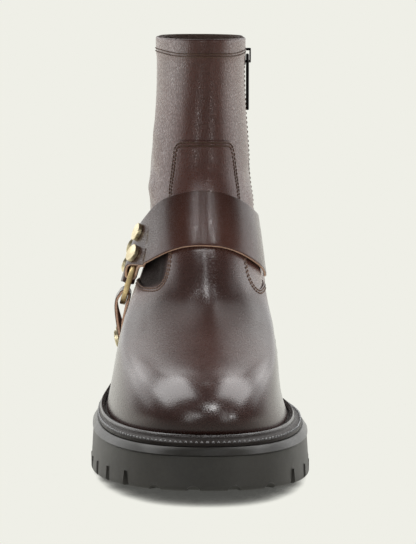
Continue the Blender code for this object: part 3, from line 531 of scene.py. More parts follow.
def outline_at(section, angle, out):
    """Plan of a section at these column angles, moved outwards along its plane normal."""
    step = 0.005
    x, y, _ = section_xy(section, angle)
    x_after, y_after, _ = section_xy(section, angle + step)
    x_before, y_before, _ = section_xy(section, angle - step)
    normal = unit(np.stack([y_after - y_before, x_before - x_after], axis=-1))
    return np.stack([x, y], axis=-1) + out * normal


def ring_at(section, angle, out, height):
    """Ring round a section's plan moved outwards; height gives z from the place along the foot."""
    plan = outline_at(section, angle, out)
    return np.column_stack([plan, height(plan[:, 1])])


def grid_quads(rows, columns, wrap=False, first=0):
    """Corner numbers of the cells of a grid of points."""
    down = np.arange(rows - 1)[:, None] * columns
    across = np.arange(columns if wrap else columns - 1)[None, :]
    after = (across + 1) % columns
    corners = (down + across, down + after, down + columns + after, down + columns + across)
    return np.stack(corners, axis=-1).reshape(-1, 4) + first


def end_loops(rows, columns):
    """First and last ring of a tube as two faces that close it."""
    ring = np.arange(columns)
    return np.stack([ring, (rows - 1) * columns + ring[::-1]])


def repeated(faces, size, count, first=0):
    """Faces of a shape of so many points, once for each of a number of shapes."""
    starts = first + size * np.arange(count)
    return (faces[None] + starts[:, None, None]).reshape(-1, faces.shape[1])


def add_piece(name, points, faces, finishes, nodes=(), picks=None, merge=False,
              sharp=40.0, shade=None):
    """Piece of the boot from points in millimetres and arrays of faces, each of one size.

    picks gives each array of faces its finish, shade each point its painted shade. Normals are
    turned outwards, and where merge is set, points that coincide become one.
    """
    mesh = bpy.data.meshes.new(name)
    faces = [np.asarray(group, dtype=np.int32) for group in faces if len(group)]
    totals = np.concatenate([np.full(len(group), group.shape[1]) for group in faces])
    corners = np.concatenate([group.ravel() for group in faces])
    mesh.vertices.add(len(points))
    places = np.asarray(points, np.float64) * MM
    mesh.vertices.foreach_set("co", places.astype(np.float32).ravel())
    mesh.loops.add(len(corners))
    mesh.loops.foreach_set("vertex_index", corners)
    mesh.polygons.add(len(totals))
    starts = np.concatenate([[0], np.cumsum(totals)[:-1]]).astype(np.int32)
    mesh.polygons.foreach_set("loop_start", starts)
    if picks is not None:
        index = np.concatenate([np.full(len(group), pick) for group, pick in zip(faces, picks)])
        mesh.polygons.foreach_set("material_index", index.astype(np.int32))
    for finish in finishes:
        mesh.materials.append(finish)
    mesh.update(calc_edges=True)
    if shade is not None:
        wax = mesh.attributes.new("shade", "FLOAT", "POINT")
        wax.data.foreach_set("value", shade.astype(np.float32).ravel())
    work = bmesh.new()
    work.from_mesh(mesh)
    if merge:
        bmesh.ops.remove_doubles(work, verts=work.verts, dist=MERGE_MM * MM)
    bmesh.ops.recalc_face_normals(work, faces=work.faces)
    work.to_mesh(mesh)
    work.free()
    mesh.shade_smooth()
    mesh.set_sharp_from_angle(angle=math.radians(sharp))
    piece = bpy.data.objects.new(name, mesh)
    bpy.context.scene.collection.objects.link(piece)
    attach(piece, BODY)
    if nodes:
        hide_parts(*nodes)


def wall_between(outer, inner, present):
    """Closed wall between two grids that wrap across; cells not present are left open.

    Returns the points and the faces of the outside, the inside and the rims.
    """
    rows, columns, _ = outer.shape
    number = np.arange(rows * columns).reshape(rows, columns)
    after = np.roll(number, -1, axis=1)
    cell = np.stack([number[:-1], after[:-1], after[1:], number[1:]], axis=-1)
    half = rows * columns
    stacked = np.zeros((rows + 1, columns), dtype=bool)
    stacked[1:-1] = present
    beside = (stacked[:-2], np.roll(present, -1, axis=1), stacked[2:], np.roll(present, 1, axis=1))
    rims = []
    for k, there in enumerate(beside):
        rim = cell[present & ~there]
        start, end = rim[:, k], rim[:, (k + 1) % 4]
        rims.append(np.stack([end, start, half + start, half + end], axis=-1))
    points = np.concatenate([outer.reshape(-1, 3), inner.reshape(-1, 3)])
    return points, cell[present], half + cell[present][:, ::-1], np.concatenate(rims)


def resample(path, step):
    """Points every step along a path of points, at even distances from end to end."""
    lengths = run_lengths(path)
    count = max(2, int(round(lengths[-1] / step)) + 1)
    places = np.linspace(0.0, lengths[-1], count)
    return np.stack([np.interp(places, lengths, column) for column in path.T], axis=1)


def stitch_rows(paths, normals, pitch, length, width, lift):
    """Stitches along paths: each is a bent capsule, a circle carried along a low arch.

    The arch is lift times one minus the square of the share of the half length.
    """
    turn = 2 * np.pi * np.arange(STITCH_SIDES) / STITCH_SIDES
    along = np.linspace(-1.0, 1.0, STITCH_RINGS)
    swell = np.sqrt(np.clip(1.0 - np.abs(along) ** 3.0, 0.0, 1.0)) * 0.5 * width
    swell[[0, -1]] = STITCH_TIP * width
    arch = lift * (1.0 - along ** 2) - STITCH_DIP * width * along ** 2
    cells = grid_quads(STITCH_RINGS, STITCH_SIDES, wrap=True)
    size = STITCH_RINGS * STITCH_SIDES
    points, faces, first = [], [], 0
    for path, outward in zip(paths, normals):
        both = resample(np.concatenate([path, outward * TURN_WEIGHT], axis=1), pitch)
        spot, up = both[:, :3], unit(both[:, 3:])
        ahead = unit(np.gradient(spot, axis=0))
        side = unit(np.cross(up, ahead))
        spine = (spot[:, None] + ahead[:, None] * (along * length / 2)[:, None]
                 + up[:, None] * arch[:, None])
        ring = (spine[:, :, None]
                + side[:, None, None] * (swell[:, None] * np.cos(turn))[None, :, :, None]
                + up[:, None, None] * (swell[:, None] * np.sin(turn))[None, :, :, None])
        faces.append(repeated(cells, size, len(spot), first))
        points.append(ring.reshape(-1, 3))
        first += len(spot) * size
    return np.concatenate(points), np.concatenate(faces)


def ring_axes():
    """Directions of the ring: towards the heel, up along its plane and out of the boot."""
    lean = math.radians(RING_LEAN)
    back = np.array([0.0, 1.0, 0.0])
    up = np.array([math.sin(lean), 0.0, math.cos(lean)])
    return back, up, np.array([-math.cos(lean), 0.0, math.sin(lean)])


def ring_row(end, reach, height, flip):
    """Points across a strap at a distance from the ring's centre and above its plane."""
    back, up, out = ring_axes()
    heading = math.radians(end.heading_deg)
    along = math.cos(heading) * back + math.sin(heading) * up
    side = np.cross(out, along) * flip
    shares = np.linspace(-0.5, 0.5, ACROSS + 1)[:, None]
    return np.array(RING_CENTRE) + along * reach + out * height + side * shares * end.width


def grid_normals(grid, outward=None):
    """Normals of a grid of points; the last row faces along outward where that is given."""
    normal = unit(np.cross(np.gradient(grid, axis=0), np.gradient(grid, axis=1)))
    if outward is not None and np.sum(normal[-1] * outward) < 0:
        normal = -normal
    return normal


def rows_on_upper(stations):
    """Cross rows of a strap at column angles, between a low and a high row of the last."""
    reach = abs(stations[-1].column_deg - stations[0].column_deg)
    count = int(round(reach / STRAP_COLUMN_STEP)) + 1
    path = spline_at(spline_table(stations), np.linspace(0, len(stations) - 1, count))
    shares = np.linspace(0.0, 1.0, ACROSS + 1)
    column, low, high, low_lift, high_lift = (path[:, k, None] for k in range(5))
    out = STRAP_LIFT + STRAP_THICKNESS / 2 + low_lift + (high_lift - low_lift) * shares
    return upper_point(np.radians(column) + 0 * shares, low + (high - low) * shares, out)


def rows_under_ring(stations):
    """Cross rows of the arch strap: lateral places under the ring at a row of the last."""
    places = RING_CENTRE[1] + ARCH_END.width * np.linspace(-0.5, 0.5, ACROSS + 1)
    angles = -np.linspace(0.0, np.pi, 721)
    rows = []
    for station in stations:
        reach = upper_base(angles, station.row)[:, 1]
        column = angles[np.argmin(np.abs(reach[:, None] - places), axis=0)]
        out = np.full(ACROSS + 1, STRAP_LIFT + STRAP_THICKNESS / 2 + station.lift)
        rows.append(upper_point(column, np.full(ACROSS + 1, station.row), out))
    return np.array(rows)


def strap_sheet(rows, end, flip, tail_at, rivet_at):
    """Middle surface of a strap that goes through the ring and comes back under itself.

    A spline carries the cross rows on the boot to the ring, an arc of less than half a turn goes
    round the ring's bar, and the tail lies one layer below. Returns the surface and the rivets'
    places and directions on its outer layer; tail_at, the end of the tail, and rivet_at are
    counted from the last cross row.
    """
    half = STRAP_THICKNESS / 2
    height = RING_THICKNESS / 2 + LAYER_GAP + half
    bar_edge = math.sqrt(RING_INNER ** 2 - (end.width / 2) ** 2) - GAP
    centre = bar_edge + math.sqrt((height - half) ** 2 - (RING_THICKNESS / 2) ** 2)
    approach = [ring_row(end, reach, height, flip) for reach in (RING_OUTER + APPROACH, centre)]
    knots = np.array(list(rows) + approach)
    last = len(rows) - 1
    places = np.concatenate([np.linspace(0, last, STRAP_STEPS * last + 1)[:-1],
                             np.linspace(last, last + 2, STRAP_END_STEPS)])
    layer = spline_at(spline_table(knots), places)
    normal = grid_normals(layer, ring_axes()[2])

    def nearest(place):
        return int(np.argmin(np.abs(places - last - place)))

    turn = np.radians(np.linspace(FOLD_DEGREES, -FOLD_DEGREES, FOLD_STEPS))
    fold = [ring_row(end, centre - height * math.cos(a), height * math.sin(a), flip) for a in turn]
    level = RING_OUTER + RETURN
    under = [ring_row(end, reach, -height, flip) for reach in (centre, (centre + level) / 2, level)]
    drop = STRAP_THICKNESS + LAYER_GAP
    back = [layer[k] - normal[k] * drop for k in (nearest(1.0 / 3.0), nearest(tail_at))]
    tail_knots = np.array([layer[-1]] + fold + under + back)
    past_fold = len(fold) + 1
    tail_places = np.concatenate([np.arange(past_fold),
                                  np.linspace(past_fold, len(tail_knots) - 1, TAIL_STEPS)])
    tail = spline_at(spline_table(tail_knots), tail_places)
    row = nearest(rivet_at)
    rivets = [(layer[row, k], normal[row, k]) for k in (ACROSS // 4, 3 * ACROSS // 4)]
    return np.concatenate([layer, tail[1:]]), rivets


def strap_body(sheet, rounding, flip):
    """Solid strap: a rounded slat, its corners quarter circles, carried along the sheet.

    Its faces come as grain side, flesh side, rim and ends; flip tells which side is the grain.
    """
    half = STRAP_THICKNESS / 2
    width = np.linalg.norm(np.diff(sheet, axis=1), axis=2).sum(axis=1).mean()
    bow = np.linspace(0.0, np.pi / 2, CORNER_STEPS)[:-1]
    inset = rounding / width
    near = inset * (1.0 - np.cos(bow))
    rise = half - rounding + rounding * np.sin(bow)
    flat = np.linspace(inset, 1.0 - inset, 2 * ACROSS + 1)
    top = np.full(len(flat), half)
    share = np.concatenate([near, flat, 1.0 - near[::-1], 1.0 - near, flat[::-1], near[::-1]])
    level = np.concatenate([rise, top, rise[::-1], -rise, -top, -rise[::-1]])
    place = np.clip(share * ACROSS, 0, ACROSS)
    low = np.minimum(place.astype(int), ACROSS - 1)
    part = (place - low)[None, :, None]
    normal = grid_normals(sheet)
    middle = (1 - part) * sheet[:, low] + part * sheet[:, low + 1]
    outward = unit((1 - part) * normal[:, low] + part * normal[:, low + 1])
    points = middle + outward * level[None, :, None]
    rows, count, _ = points.shape
    quads = grid_quads(rows, count, wrap=True).reshape(rows - 1, count, 4)
    arc, top_end = len(near), len(near) + len(flat)
    lane = np.arange(count)
    upper_flat = (lane >= arc) & (lane < top_end - 1)
    lower_flat = (lane >= top_end + 2 * arc) & (lane < count - arc - 1)
    flat_lane = upper_flat | lower_flat
    upright = (lane == top_end + arc - 1) | (lane == count - 1)
    outer = (lane < top_end + arc - 1) == (flip < 0)
    lanes = outer & ~upright, ~outer & flat_lane, upright | (~outer & ~flat_lane)
    faces = [quads[:, pick].reshape(-1, 4) for pick in lanes]
    return points.reshape(-1, 3), faces + [end_loops(rows, count)]


def lathe_on(profile, spot, outward, sides):
    """Surface of revolution of a profile of radius and height, standing on a place."""
    profile = np.array(profile)
    helper = np.array([0.0, 0.0, 1.0]) if abs(outward[2]) < 0.9 else np.array([0.0, 1.0, 0.0])
    first = unit(np.cross(helper, outward))
    second = np.cross(outward, first)
    turn = 2 * np.pi * np.arange(sides) / sides
    spokes = np.cos(turn)[:, None] * first + np.sin(turn)[:, None] * second
    return spot + profile[:, 0, None, None] * spokes + profile[:, 1, None, None] * outward


def smooth_edge(table, step=0.5, blur=2.2):
    """Panel edge through its table: evenly spaced on the leather and softened by a Gauss mean."""
    knots = np.array(table, dtype=float)
    fine = np.linspace(0, len(knots) - 1, 60 * len(knots))
    dense = np.stack([np.interp(fine, np.arange(len(knots)), column) for column in knots.T], axis=1)
    length = run_lengths(upper_base(np.radians(dense[:, 0]), dense[:, 1]))
    spots = np.linspace(0.0, length[-1], int(length[-1] / step))
    even = np.stack([np.interp(spots, length, column) for column in dense.T], axis=1)
    reach = int(3 * blur / step)
    kernel = np.exp(-0.5 * (np.arange(-reach, reach + 1) * step / blur) ** 2)
    kernel /= kernel.sum()
    before = 2 * even[0] - even[reach:0:-1]
    after = 2 * even[-1] - even[-2:-reach - 2:-1]
    padded = np.concatenate([before, even, after])
    soft = np.stack([np.convolve(column, kernel, mode="valid") for column in padded.T], axis=1)
    return np.radians(soft[:, 0]), soft[:, 1]


def inset_edge(angle, row, inward, distance):
    """Edge moved into the panel along its own perpendicular on the leather."""
    per_angle, per_row = mm_scales(angle, row)
    ahead = unit(np.stack([np.gradient(angle) * per_angle, np.gradient(row) * per_row], axis=-1))
    side = np.stack([-ahead[:, 1], ahead[:, 0]], axis=-1) * inward
    return (angle + distance * side[:, 0] / per_angle, row + distance * side[:, 1] / per_row)


def vamp_grid(rows=190, inner=110):
    """Column angles and rows of the vamp panel: strips along both edges, lines between them.

    Each line joins the two edges at the same share of their length, so the first is a point at
    the tongue's top and the last follows the sole.
    """
    share = np.linspace(0.0, 1.0, rows)
    strips = []
    for table, inward in ((VAMP_LATERAL, 1.0), (VAMP_MEDIAL, -1.0)):
        angle, row = smooth_edge(table)
        spots = np.linspace(0.0, 1.0, len(angle))
        angle, row = np.interp(share, spots, angle), np.interp(share, spots, row)
        strips.append([inset_edge(angle, row, inward, reach) for reach in PANEL_STRIP])
    lateral, medial = np.array(strips[0]), np.array(strips[1])
    lateral[:, :, 0] = medial[:, :, 0] = 0.5 * (lateral[:, :, 0] + medial[:, :, 0])
    part = np.linspace(0.0, 1.0, inner + 2)[1:-1, None, None]
    middle = (1 - part) * lateral[-1] + part * medial[-1]
    grid = np.concatenate([lateral, middle, medial[::-1]])
    return grid[:, 0].T, grid[:, 1].T


def vamp_height(thickness):
    """Height of the panel over its strip: a rounded edge and two shallow stitch furrows."""
    strip = np.array(PANEL_STRIP)
    radius, foot = PANEL_EDGE
    depth, half = PANEL_FURROW
    height = thickness + round_edge(strip, radius) * (thickness - foot)
    for place in PANEL_STITCHES:
        height = height - depth * np.exp(-((strip - place) / half) ** 2)
    return height


def closed_columns(shares):
    """Signed side (1 medial, -1 lateral) and share of the half round for a closed loop."""
    side = np.concatenate([[1.0], np.ones(len(shares)), [1.0], -np.ones(len(shares))])
    return side, np.concatenate([[0.0], shares, [1.0], shares[::-1]])


class SoleLoop:
    """Places round the sole by distance from the toe tip, with the lug slots marked.

    The outline's column angle is looked up from its length, measured at the flared foot.
    """

    def __init__(self):
        dense = np.linspace(0.0, np.pi, 3000)
        self.lengths, self.angles, self.slots = {}, dense, []
        for side in (1.0, -1.0):
            plan = outline_at(SOLE, side * dense, FLARE)
            self.lengths[side] = run_lengths(plan)
            count = int(self.lengths[side][-1] // LUG_PITCH)
            start = LUG_PHASE if side > 0 else 1.0 - LUG_PHASE
            places = (start + np.arange(count)) * LUG_PITCH
            y = np.interp(places, self.lengths[side], plan[:, 1])
            self.slots += [(side, place, spot) for place, spot in zip(places, y)]

    def angle(self, side, share):
        """Signed column angle at a share of a side's length."""
        found = [np.interp(part * self.lengths[s][-1], self.lengths[s], self.angles) * s
                 for s, part in zip(side, share)]
        return np.array(found)

    def columns(self, keep, low, steps):
        """Even shares from low to the end, with extra ones at the flanks of the kept slots."""
        shares = [np.linspace(low, 1.0, steps)[1:-1]]
        for side, place, y in self.slots:
            if keep(y):
                reach = np.array([-LUG_SLOT_FOOT - FLANK, -LUG_SLOT_FOOT, -LUG_SLOT_TOP, 0.0,
                                  LUG_SLOT_TOP, LUG_SLOT_FOOT, LUG_SLOT_FOOT + FLANK])
                if place < TOE_NOTCH_REACH:
                    reach = -TOE_NOTCH_HALF * np.cos(np.linspace(0.0, np.pi, 15))
                shares.append((place + reach) / self.lengths[side][-1])
        merged = np.unique(np.round(np.concatenate(shares), 5))
        return merged[(merged > low) & (merged < 1.0)]

    def lift(self, side, share, keep):
        """Height over each column of the slots' roofs, trapeziums, and of the toe's arches."""
        place = share * np.where(side > 0, self.lengths[1.0][-1], self.lengths[-1.0][-1])
        slots, arches = np.zeros_like(share), np.zeros_like(share)
        for slot_side, centre, y in self.slots:
            if not keep(y):
                continue
            gone = np.abs(place - centre) + np.where(side == slot_side, 0.0, 1e6)
            if centre < TOE_NOTCH_REACH:
                arch = np.sqrt(np.clip(1.0 - (gone / TOE_NOTCH_HALF) ** 2, 0.0, 1.0))
                arches = np.maximum(arches, TOE_NOTCH_DEPTH * arch)
            else:
                ramp = (LUG_SLOT_FOOT - gone) / (LUG_SLOT_FOOT - LUG_SLOT_TOP)
                slots = np.maximum(slots, LUG_DEPTH * np.clip(ramp, 0.0, 1.0))
        return slots, arches


def lines_between(right, left, steps):
    """Grid of straight lines from the points of one row to those of another."""
    part = np.linspace(0.0, 1.0, steps)[None, :, None]
    return (1 - part) * right[:, None] + part * left[:, None]


def pad_between(ring, steps, lift=None):
    """Floor of a closed loop: straight lines from its medial to its lateral points."""
    half = len(ring) // 2 + 1
    pad = lines_between(ring[:half], np.concatenate([ring[:1], ring[:half - 2:-1]]), steps)
    if lift is not None:
        pad[:, 1:-1, 2] += lift(pad[:, 1:-1])
    return pad


def stack_grids(grids):
    """Points and faces of several grids, each with a flag that it wraps across."""
    points, faces, first = [], [], 0
    for grid, wrap in grids:
        rows, columns, _ = grid.shape
        faces.append(grid_quads(rows, columns, wrap, first))
        points.append(grid.reshape(-1, 3))
        first += rows * columns
    return np.concatenate(points), faces


def groove_lift(places):
    """Depth of the cross grooves of the tread, with short ramps at their flanks."""
    depth = np.zeros(places.shape[:-1])
    for y in GROOVES_Y:
        inside = GROOVE_HALF + FLANK - np.abs(places[..., 1] - y)
        flank = np.clip(inside / (2 * FLANK), 0.0, 1.0)
        depth = np.maximum(depth, CHANNEL_DEPTH * flank)
    return depth


def outsole_grids(loop):
    """Tread, lugged wall and bevelled lip as rings round the sole, closed by two floors."""
    def keep(y):
        return y < LUG_BACK_Y

    shares = [loop.columns(keep, 0.0, 300)]
    for side in (1.0, -1.0):
        plan = outline_at(SOLE, side * loop.angles, -CHANNEL_NEAR)
        for y in GROOVES_Y:
            edges = y + np.array([-1.0, 1.0])[:, None] * (GROOVE_HALF + np.array([-FLANK, FLANK]))
            found = np.interp(edges.ravel(), plan[:, 1], loop.lengths[side])
            shares.append(found / loop.lengths[side][-1])
    side, share = closed_columns(np.unique(np.round(np.concatenate(shares), 5)))
    angle = loop.angle(side, share)
    slots, arches = loop.lift(side, share, keep)
    roof = np.maximum(slots, arches)
    rings = []

    def ring(out, height):
        rings.append(ring_at(SOLE, angle, out, height))

    def channel(y):
        return np.where(y < CHANNEL_BACK_Y, CHANNEL_DEPTH, 0.0)

    for out, deep in ((-CHANNEL_NEAR - CHANNEL_FLANK, 0), (-CHANNEL_NEAR, 1), (-CHANNEL_FAR, 1),
                      (-CHANNEL_FAR + CHANNEL_FLANK, 0)):
        ring(out, lambda y: sole_bottom_z(y) + deep * channel(y))
    for out, slot, arch in TREAD_RINGS:
        ring(out, lambda y: sole_bottom_z(y) + np.maximum(slot * slots, arch * arches))
    for out, rise in ROUND_RINGS:
        ring(out, lambda y: sole_bottom_z(y) + np.maximum(rise, roof))
    for up in WALL_SHARES:
        def wall(y):
            low = sole_bottom_z(y) + EDGE_ROUND
            high = sole_top_z(y) - LIP_HEIGHT - LIP_OUT
            return np.maximum(low + (high - low) * up, sole_bottom_z(y) + roof)
        ring(FLARE * (1.0 - up), wall)
    for out, drop in LIP_PROFILE:
        ring(out, lambda y: sole_top_z(y) - drop)
    tread = pad_between(rings[0], 14, groove_lift)
    return [(np.stack(rings), True), (tread, False), (pad_between(rings[-1], 6), False)]


def heel_grids(loop):
    """Heel block: lugged wall round the back, a flat breast and floors above and below."""
    starts = []
    for side in (1.0, -1.0):
        plan = outline_at(SOLE, side * loop.angles, 0.0)
        found = np.interp(HEEL_BREAST_Y, plan[:, 1], loop.lengths[side])
        starts.append(found / loop.lengths[side][-1])
    low = min(starts)

    def keep(y):
        return y > HEEL_LUG_Y

    shares = np.concatenate([[low], loop.columns(keep, low, 120)])
    side = np.concatenate([np.ones(len(shares) + 1), -np.ones(len(shares))])
    share = np.concatenate([shares, [1.0], shares[::-1]])
    angle = loop.angle(side, share)
    roof = loop.lift(side, share, keep)[0]
    rings = []

    def ring(out, height):
        rings.append(ring_at(SOLE, angle, out, height))

    for k, out in enumerate(HEEL_FLOOR_RINGS):
        ring(out, lambda y: min(k, 1) * roof)
    for out, rise in HEEL_ROUND_RINGS:
        ring(out, lambda y: np.maximum(rise, roof))
    for up in HEEL_WALL_SHARES:
        def wall(y):
            high = sole_bottom_z(y) - GAP
            return np.maximum(EDGE_ROUND + (high - EDGE_ROUND) * up, roof)
        ring(HEEL_FOOT + (-HEEL_TUCK - HEEL_FOOT) * up, wall)
    rings = np.stack(rings)
    half, steps = len(shares) + 1, 10
    grids = [rings, lines_between(rings[:, 0], rings[:, -1], steps)]
    for ring in (rings[0], rings[-1]):
        grids.append(lines_between(ring[:half], ring[::-1][:half], steps))
    return [(grid, False) for grid in grids]


def welt_shelf(around, share, rise):
    """Line along the welt's shelf: a share of the way from the bead to the edge, at a height."""
    spot = ((1 - share) * outline_at(FOOT, around, WELT_SHELF_START)
            + share * outline_at(SOLE, around, -WELT_EDGE))
    return np.column_stack([spot, feather_z(spot[:, 1]) + rise])


def welt_profile(around, pitch):
    """Welt section carried round the feather line: flange, wheeled bead, shelf and edge.

    The bead's height ripples as a squared sine along the outline, the marks of a fudge wheel.
    """
    plan = outline_at(FOOT, around, 0.0)
    length = run_lengths(np.concatenate([plan, plan[:1]]))
    marks = np.round(length[-1] / pitch)
    ripple = np.sin(np.pi * marks * length[:-1] / length[-1]) ** 2
    bottom = -GAP - WELT_THICKNESS
    section = [(-WELT_INNER, bottom, 0.0), (-WELT_INNER, -GAP, 0.0)]
    section += [(out, rise, 0.0) for out, rise in WELT_FLANGE]
    rings = [ring_at(FOOT, around, out, lambda y: feather_z(y) + (rise - mark * ripple))
             for out, rise, mark in (*section, *WELT_BEAD)]
    rings += [welt_shelf(around, share, rise) for share, rise in (*WELT_SHELF, (1.0, bottom))]
    return np.stack(rings, axis=1)


class NodeTree:
    """Short hand for adding shader nodes: most calls give back the node's first output."""

    def __init__(self, tree):
        self.tree = tree
        tree.nodes.clear()

    def feed(self, socket, value):
        """Links another node's socket to an input, or sets the input's own value."""
        if isinstance(value, bpy.types.NodeSocket):
            self.tree.links.new(value, socket)
        else:
            socket.default_value = value

    def put(self, kind, inputs=(), output=0, **settings):
        """New node with its settings and inputs."""
        node = self.tree.nodes.new(kind)
        for key, value in settings.items():
            setattr(node, key, value)
        for key, value in dict(inputs).items():
            self.feed(node.inputs[key], value)
        return node.outputs[output] if node.outputs else None

    def math(self, operation, *values):
        """Sum, product or other function of one to three values."""
        return self.put("ShaderNodeMath", dict(enumerate(values)), operation=operation)

    def ramp(self, value, low, high, start=0.0, end=1.0, kind="SMOOTHSTEP"):
        """Smooth step of a value from low to high, giving start to end."""
        inputs = {"Value": value, "From Min": low, "From Max": high, "To Min": start, "To Max": end}
        return self.put("ShaderNodeMapRange", inputs, interpolation_type=kind)

    def noise(self, vector, scale, detail, output=0, **more):
        """Noise texture: its value, or its colour as output 1."""
        inputs = {"Vector": vector, "Scale": scale, "Detail": detail, **more}
        return self.put("ShaderNodeTexNoise", inputs, output)

    def mix(self, share, first, second):
        """Colour between two colours."""
        node = self.tree.nodes.new("ShaderNodeMix")
        node.data_type = "RGBA"
        for index, value in ((0, share), (6, first), (7, second)):
            self.feed(node.inputs[index], value)
        return node.outputs[2]

    def blend(self, first, first_share, second, second_share):
        """Sum of two values, each times its share."""
        one = self.math("MULTIPLY", first, first_share)
        other = self.math("MULTIPLY", second, second_share)
        return self.math("ADD", one, other)

    def group(self, name, builder, inputs):
        """Places a node group, built on its first use, and gives its outputs by name."""
        node = self.tree.nodes.new("ShaderNodeGroup")
        node.node_tree = bpy.data.node_groups.get(name) or builder()
        for key, value in inputs.items():
            self.feed(node.inputs[key], value)
        return node.outputs


def rgba(colour, scale=1.0):
    """Colour times a scale, with full alpha."""
    return (colour[0] * scale, colour[1] * scale, colour[2] * scale, 1.0)


def new_group(name, inputs, outputs):
    """Shader node group with its sockets; gives its tree, its inputs and its outputs by name."""
    tree = bpy.data.node_groups.new(name, "ShaderNodeTree")
    kit = NodeTree(tree)
    for label, kind, default in inputs:
        socket = tree.interface.new_socket(label, in_out="INPUT", socket_type=kind)
        if default is not None:
            socket.default_value = default
    for label, kind in outputs:
        tree.interface.new_socket(label, in_out="OUTPUT", socket_type=kind)
    source = tree.nodes.new("NodeGroupInput")
    sink = tree.nodes.new("NodeGroupOutput")
    return kit, source.outputs, sink.inputs


def grain_group():
    """Pebbled leather grain: warped cells with soft crests, and fine wrinkles."""
    kit, given, sink = new_group(
        "leather_grain",
        (("Vector", "NodeSocketVector", None), ("Pebble", "NodeSocketFloat", 900.0),
         ("Wrinkle", "NodeSocketFloat", 0.5)),
        (("Height", "NodeSocketFloat"), ("Crevice", "NodeSocketFloat")))
    warp = kit.noise(given["Vector"], 160.0, 2.0, 1)
    scaled = kit.put("ShaderNodeVectorMath", {0: warp, "Scale": 0.0022}, operation="SCALE")
    place = kit.put("ShaderNodeVectorMath", {0: given["Vector"], 1: scaled}, operation="ADD")
    leaning = kit.put(
        "ShaderNodeMapping", {"Vector": place, "Rotation": GRAIN_LEAN, "Scale": GRAIN_STRETCH},
        vector_type="TEXTURE")
    cells = kit.put(
        "ShaderNodeTexVoronoi", {"Vector": leaning, "Scale": given["Pebble"], "Randomness": 1.0},
        feature="DISTANCE_TO_EDGE")
    crest = kit.ramp(cells, 0.0, 0.28)
    stretched = kit.put("ShaderNodeMapping", {"Vector": place, "Scale": (1.0, 1.0, 0.45)})
    fine = kit.noise(stretched, 1500.0, 3.0, Roughness=0.6)
    kit.feed(sink["Height"], kit.blend(crest, 0.6, fine, given["Wrinkle"]))
    kit.feed(sink["Crevice"], kit.math("SUBTRACT", 1.0, crest))
    return kit.tree


def tone_group():
    """Slow drift between two colours, with finer mottling on top."""
    kit, given, sink = new_group(
        "tone_drift",
        (("Vector", "NodeSocketVector", None), ("Deep", "NodeSocketColor", None),
         ("Light", "NodeSocketColor", None), ("Scale", "NodeSocketFloat", 30.0)),
        (("Color", "NodeSocketColor"), ("Mask", "NodeSocketFloat")))
    slow = kit.noise(given["Vector"], given["Scale"], 3.0)
    quick = kit.noise(given["Vector"], kit.math("MULTIPLY", given["Scale"], 14.0), 2.0)
    mask = kit.ramp(kit.blend(slow, 0.7, quick, 0.3), 0.32, 0.68)
    kit.feed(sink["Mask"], mask)
    kit.feed(sink["Color"], kit.mix(mask, given["Deep"], given["Light"]))
    return kit.tree


def speckle_group():
    """Fine moulded speckle: two noises, one for the grit and one for slow waves."""
    kit, given, sink = new_group(
        "moulded_speckle",
        (("Vector", "NodeSocketVector", None), ("Grit", "NodeSocketFloat", 2200.0)),
        (("Height", "NodeSocketFloat"),))
    grit = kit.noise(given["Vector"], given["Grit"], 2.0)
    wave = kit.noise(given["Vector"], 120.0, 2.0)
    kit.feed(sink["Height"], kit.blend(grit, 0.6, wave, 0.4))
    return kit.tree


def tone_of(kit, place, deep, light, scale):
    """Colour and mask of the slow drift between two colours."""
    return kit.group("tone_drift", tone_group,
                     {"Vector": place, "Deep": deep, "Light": light, "Scale": scale})


def new_material(name, build, **constants):
    """Material with one Principled shader; build gives its varying sockets, constants the rest."""
    material = bpy.data.materials.get(name)
    if material:
        return material
    material = bpy.data.materials.new(name)
    material.use_nodes = True
    kit = NodeTree(material.node_tree)
    shader = kit.tree.nodes.new("ShaderNodeBsdfPrincipled")
    sink = kit.tree.nodes.new("ShaderNodeOutputMaterial")
    kit.tree.links.new(shader.outputs[0], sink.inputs["Surface"])
    for key, value in constants.items():
        shader.inputs[key.replace("_", " ")].default_value = value
    place = kit.put("ShaderNodeTexCoord", output=3)
    for key, socket in build(kit, place).items():
        kit.tree.links.new(socket, shader.inputs[key])
    return material


def bump(kit, height, strength, distance):
    """Normal bent by a height, its full size given in metres."""
    return kit.put("ShaderNodeBump", {"Height": height, "Strength": strength, "Distance": distance})


